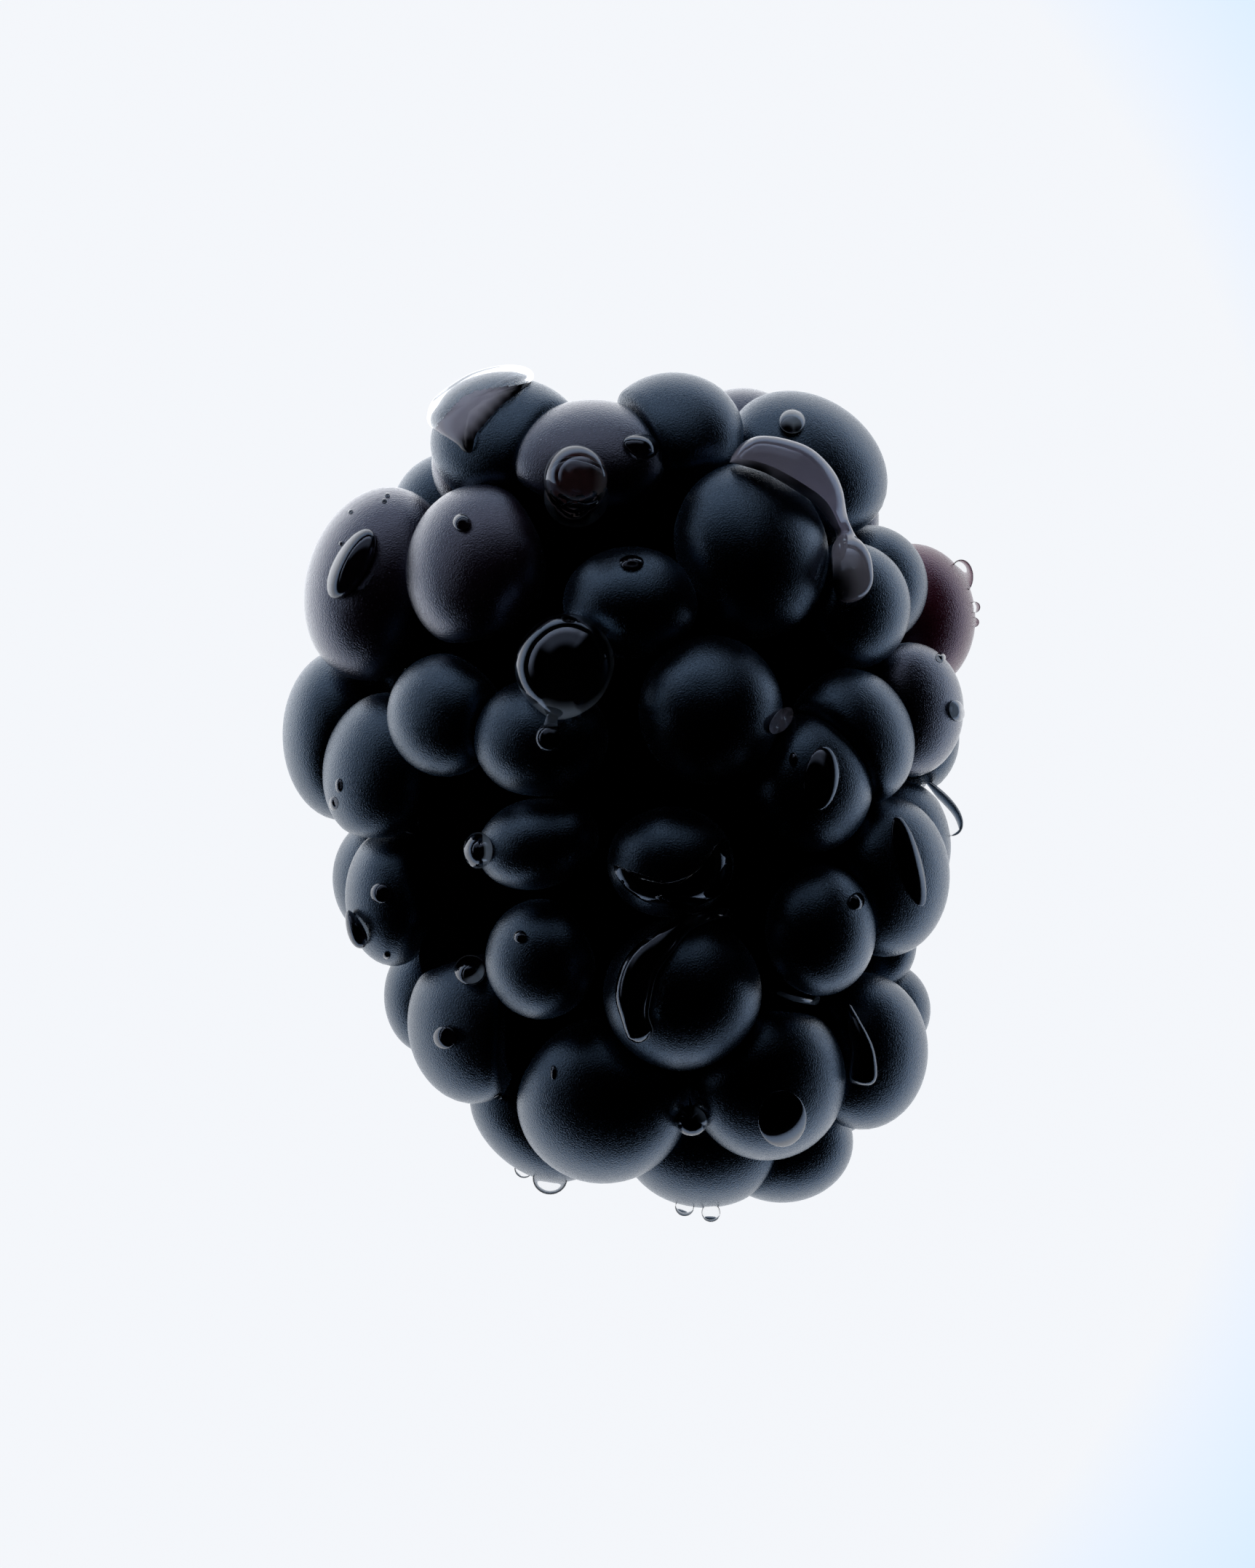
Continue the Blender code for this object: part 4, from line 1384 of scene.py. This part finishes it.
# droplets too small to be pieces of their own in the record
# their milky and pale linings are painted light seen through the drops
SMALL_WATER = (
    *(WaterBead(f"speck_left_shoulder_{k}", spot, (0.09, 0.09), rise=0.07, in_cad=False)
      for k, spot in enumerate(((-9.55, 9.58), (-8.38, 9.95), (-8.28, 10.15), (-9.85, 8.48)))),
    WaterBall("bead_right_shoulder_b", (11.92, 6.35, -2.3), (0.19, 0.19, 0.1), in_cad=False),
    WaterBall("bead_right_shoulder_c", (11.9, 5.83, -2.3), (0.17, 0.17, 0.09), in_cad=False),
    WaterBead("bead_right_rim_top", (10.65, 4.58), (0.18, 0.18), rise=0.16, in_cad=False),
    WaterBead("bead_right_rim_low", (11.2, 2.75), (0.27, 0.38), lean=20, rise=0.3, lift=0.1,
              in_cad=False, juice=Juice.PALE_PAINTED_LIGHT),
    WaterBead("bead_right_inner_top", (5.55, 1.08), (0.15, 0.25), rise=0.12, in_cad=False),
    WaterBead("bead_right_waist_inner", (7.72, -3.72), (0.27, 0.3), rise=0.26, in_cad=False),
    WaterBead("bead_left_side_a", (-9.93, 0.2), (0.13, 0.25), rise=0.12, in_cad=False),
    WaterBead("bead_left_side_b", (-10.12, -0.42), (0.16, 0.24), rise=0.12, in_cad=False),
    WaterBead("bead_left_waist_low", (-8.3, -5.63), (0.13, 0.13), rise=0.12, in_cad=False),
    WaterBead("bead_centre_low", (-3.7, -4.93), (0.23, 0.23), rise=0.2, in_cad=False),
    WaterRun("streak_right_belly", ((5.0, -6.85, 0.08), (5.5, -7.08, 0.1), (6.1, -7.2, 0.1),
                                    (6.5, -7.15, 0.08)), lift=1.4, bridge=200, climb=1.5, lined=0.5,
             in_cad=False, juice=Juice.PALE_PAINTED_LIGHT),
    WaterBead("bead_foot_left_a", (-2.58, -9.55), (0.1, 0.25), rise=0.1, in_cad=False),
    WaterBead("bead_foot_left_b", (-4.38, -10.5), (0.25, 0.12), rise=0.1, in_cad=False),
    WaterBead("bridge_right_inner", (5.15, 2.4), (0.3, 0.55), lean=-40, rise=0.25, lift=0.2,
              in_cad=False, juice=Juice.MILKY_PAINTED_LIGHT),
)


# ------------------------------------------------------------------ the studio
@dataclass
class Studio:
    """Pale table, a soft tent of light that is dark overhead, and the camera above.

    View height and aim are millimetres, the camera's distance and the table's half size
    metres.  A patch's side and top are shares of a direction, as tent tells.
    """

    view_height: float = 53.9
    distance: float = 0.62
    aim: tuple[float, float] = (-0.06, 0.25)
    table_half: float = 0.9
    cool: tuple[float, float, float] = (0.86, 0.90, 1.0)
    patch: float = 0.34
    low_patch: float = 1.15
    patch_way: tuple[float, float] = (-0.15, 0.99)
    patch_side: tuple[float, float] = (0.60, 0.92)
    patch_top: tuple[float, float] = (0.50, 0.80)
    low_way: tuple[float, float] = (-0.60, 0.80)
    low_side: tuple[float, float] = (0.25, 0.85)
    low_top: tuple[float, float] = (0.02, 0.30)
    backdrop: float = 0.93

    def floor(self) -> bpy.types.Object:
        """The table: one wide square at height zero.

        Returns:
            The table's object.
        """
        mesh = bpy.data.meshes.new("table")
        half = self.table_half
        mesh.from_pydata([(-half, -half, 0), (half, -half, 0), (half, half, 0), (-half, half, 0)],
                         [], [(0, 1, 2, 3)])
        mesh.materials.append(FloorFinish().build())
        table = bpy.data.objects.new("table", mesh)
        bpy.context.scene.collection.objects.link(table)
        return table

    def camera(self) -> bpy.types.Object:
        """A long lens straight above, the stem end at the top of the view.

        Returns:
            The camera's object.
        """
        data = bpy.data.cameras.new("camera")
        data.sensor_fit = "AUTO"
        data.sensor_width = 36.0
        data.lens = 36.0 * self.distance / (self.view_height * MM)
        data.clip_end = 10.0
        made = bpy.data.objects.new("camera", data)
        made.location = (self.aim[0] * MM, self.aim[1] * MM, self.distance + FORM.rest_depth * MM)
        bpy.context.scene.collection.objects.link(made)
        bpy.context.scene.camera = made
        return made

    def tent(self) -> None:
        """Darkness overhead and two soft cool patches of light on the stem side, low down.

        With z the upward share of a direction and t the share of its level part along the
        patch's way, a patch's light is step(t) * (1 - step(z)), each a smooth step between
        the two limits of the patch's side and top.
        """
        world = bpy.data.worlds.new("soft_tent")
        bpy.context.scene.world = world
        world.use_nodes = True
        tree = world.node_tree
        tree.nodes.clear()
        new, link = tree.nodes.new, tree.links.new

        def number(operation: str, *values: Socket | float) -> Socket:
            """One math node.

            Args:
                operation: what it does.
                values: its inputs, sockets or numbers.

            Returns:
                Its result.
            """
            made = new("ShaderNodeMath")
            made.operation = operation
            for socket, value in zip(made.inputs, values):
                if isinstance(value, (int, float)):
                    socket.default_value = value
                else:
                    link(value, socket)
            return made.outputs[0]

        def smooth(value: Socket, low: float, high: float) -> Socket:
            """Smooth step 3 s^2 - 2 s^3 of the share s of the way between two limits.

            Args:
                value: the value.
                low: where the step starts.
                high: where it ends.

            Returns:
                The step, 0 to 1.
            """
            made = new("ShaderNodeMapRange")
            made.interpolation_type = "SMOOTHSTEP"
            fix(made, From_Min=low, From_Max=high)
            link(value, made.inputs["Value"])
            return made.outputs["Result"]

        place = new("ShaderNodeTexCoord")
        parts = new("ShaderNodeSeparateXYZ")
        link(place.outputs["Generated"], parts.inputs[0])
        x, y, z = parts.outputs
        flat = number("SUBTRACT", 1.0, number("MULTIPLY", z, z))
        level = number("SQRT", number("MAXIMUM", flat, 0.001))

        def patch(way: tuple[float, float], side: tuple[float, float],
                  top: tuple[float, float]) -> Socket:
            """One patch of light of strength 1.

            Args:
                way: level direction that the patch lies in.
                side: limits of its edge to the sides.
                top: limits of its top edge.

            Returns:
                The light.
            """
            share = number("MULTIPLY_ADD", x, way[0], number("MULTIPLY", y, way[1]))
            beside = smooth(number("DIVIDE", share, level), *side)
            return number("MULTIPLY", beside, number("SUBTRACT", 1.0, smooth(z, *top)))

        low = patch(self.low_way, self.low_side, self.low_top)
        light = number("MULTIPLY_ADD", patch(self.patch_way, self.patch_side, self.patch_top),
                       self.patch, number("MULTIPLY", low, self.low_patch))
        seen = new("ShaderNodeLightPath")
        mix = new("ShaderNodeMix")
        mix.data_type = "FLOAT"
        link(seen.outputs["Is Camera Ray"], mix.inputs[0])
        link(light, mix.inputs[2])
        mix.inputs[3].default_value = self.backdrop
        glow = new("ShaderNodeBackground")
        fix(glow, Color=self.cool)
        link(mix.outputs[0], glow.inputs["Strength"])
        out = new("ShaderNodeOutputWorld")
        link(glow.outputs[0], out.inputs["Surface"])

    def build(self) -> None:
        """Make the table, the tent and the camera, and plain colour handling."""
        self.floor()
        self.tent()
        self.camera()
        bpy.context.scene.view_settings.view_transform = "Standard"


def main() -> None:
    """Build the berry, the water and the studio in order."""
    logging.basicConfig(level=logging.INFO, format="%(name)s: %(message)s")
    # the flesh finish is painted shade: near-black and unglossed, for the clefts and the core
    skin, flesh = SkinFinish().build(), PaintedShadeFleshFinish().build()
    water = WaterFinish().build()
    shiny = WaterFinish("shiny_water", 1.7, 0.35, (0.55, 0.70, 1.0)).build()
    cluster = DrupeletCluster()
    dusky = SkinFinish("dusky_skin", wax=1.0, bloom=0.1, roughness=0.19,
                       gloss_tint=(0.50, 0.60, 1.0)).build()
    maroon = SkinFinish("maroon_skin", wax=0.6, bloom=0.15, gloss_tint=(0.72, 0.38, 0.62),
                        bloom_tint=(0.85, 0.45, 0.68), maroon=(0.14, 0.018, 0.038)).build()
    cluster.build(skin, dusky, flesh, maroon)
    FleshCore().build(flesh)
    StemScar().build(ScarFinish().build())
    # the milky and pale linings are painted light seen through the drops; the red one is red juice
    # with painted light
    linings = {
        Juice.WET: WetSkinAndPaintedLightFinish().build(),
        Juice.MILKY_PAINTED_LIGHT: WetSkinAndPaintedLightFinish("milky_painted_light", (0.82, 0.79, 0.93), (0.87, 0.84, 0.96)).build(),
        Juice.PALE_PAINTED_LIGHT: WetSkinAndPaintedLightFinish("pale_painted_edge_light", (0.50, 0.60, 0.72), (0.60, 0.70, 0.82)).build(),
        Juice.RED_JUICE_AND_PAINTED_LIGHT: WetSkinAndPaintedLightFinish("red_juice_and_painted_light", (0.60, 0.54, 0.58), (0.70, 0.62, 0.66),
                                 (0.24, 0.11, 0.12)).build()}
    for drop in WATER + SMALL_WATER:
        drop.build(cluster, water if drop.plain else shiny, linings.get(drop.juice))
    Studio().build()


if __name__ == "__main__":
    main()
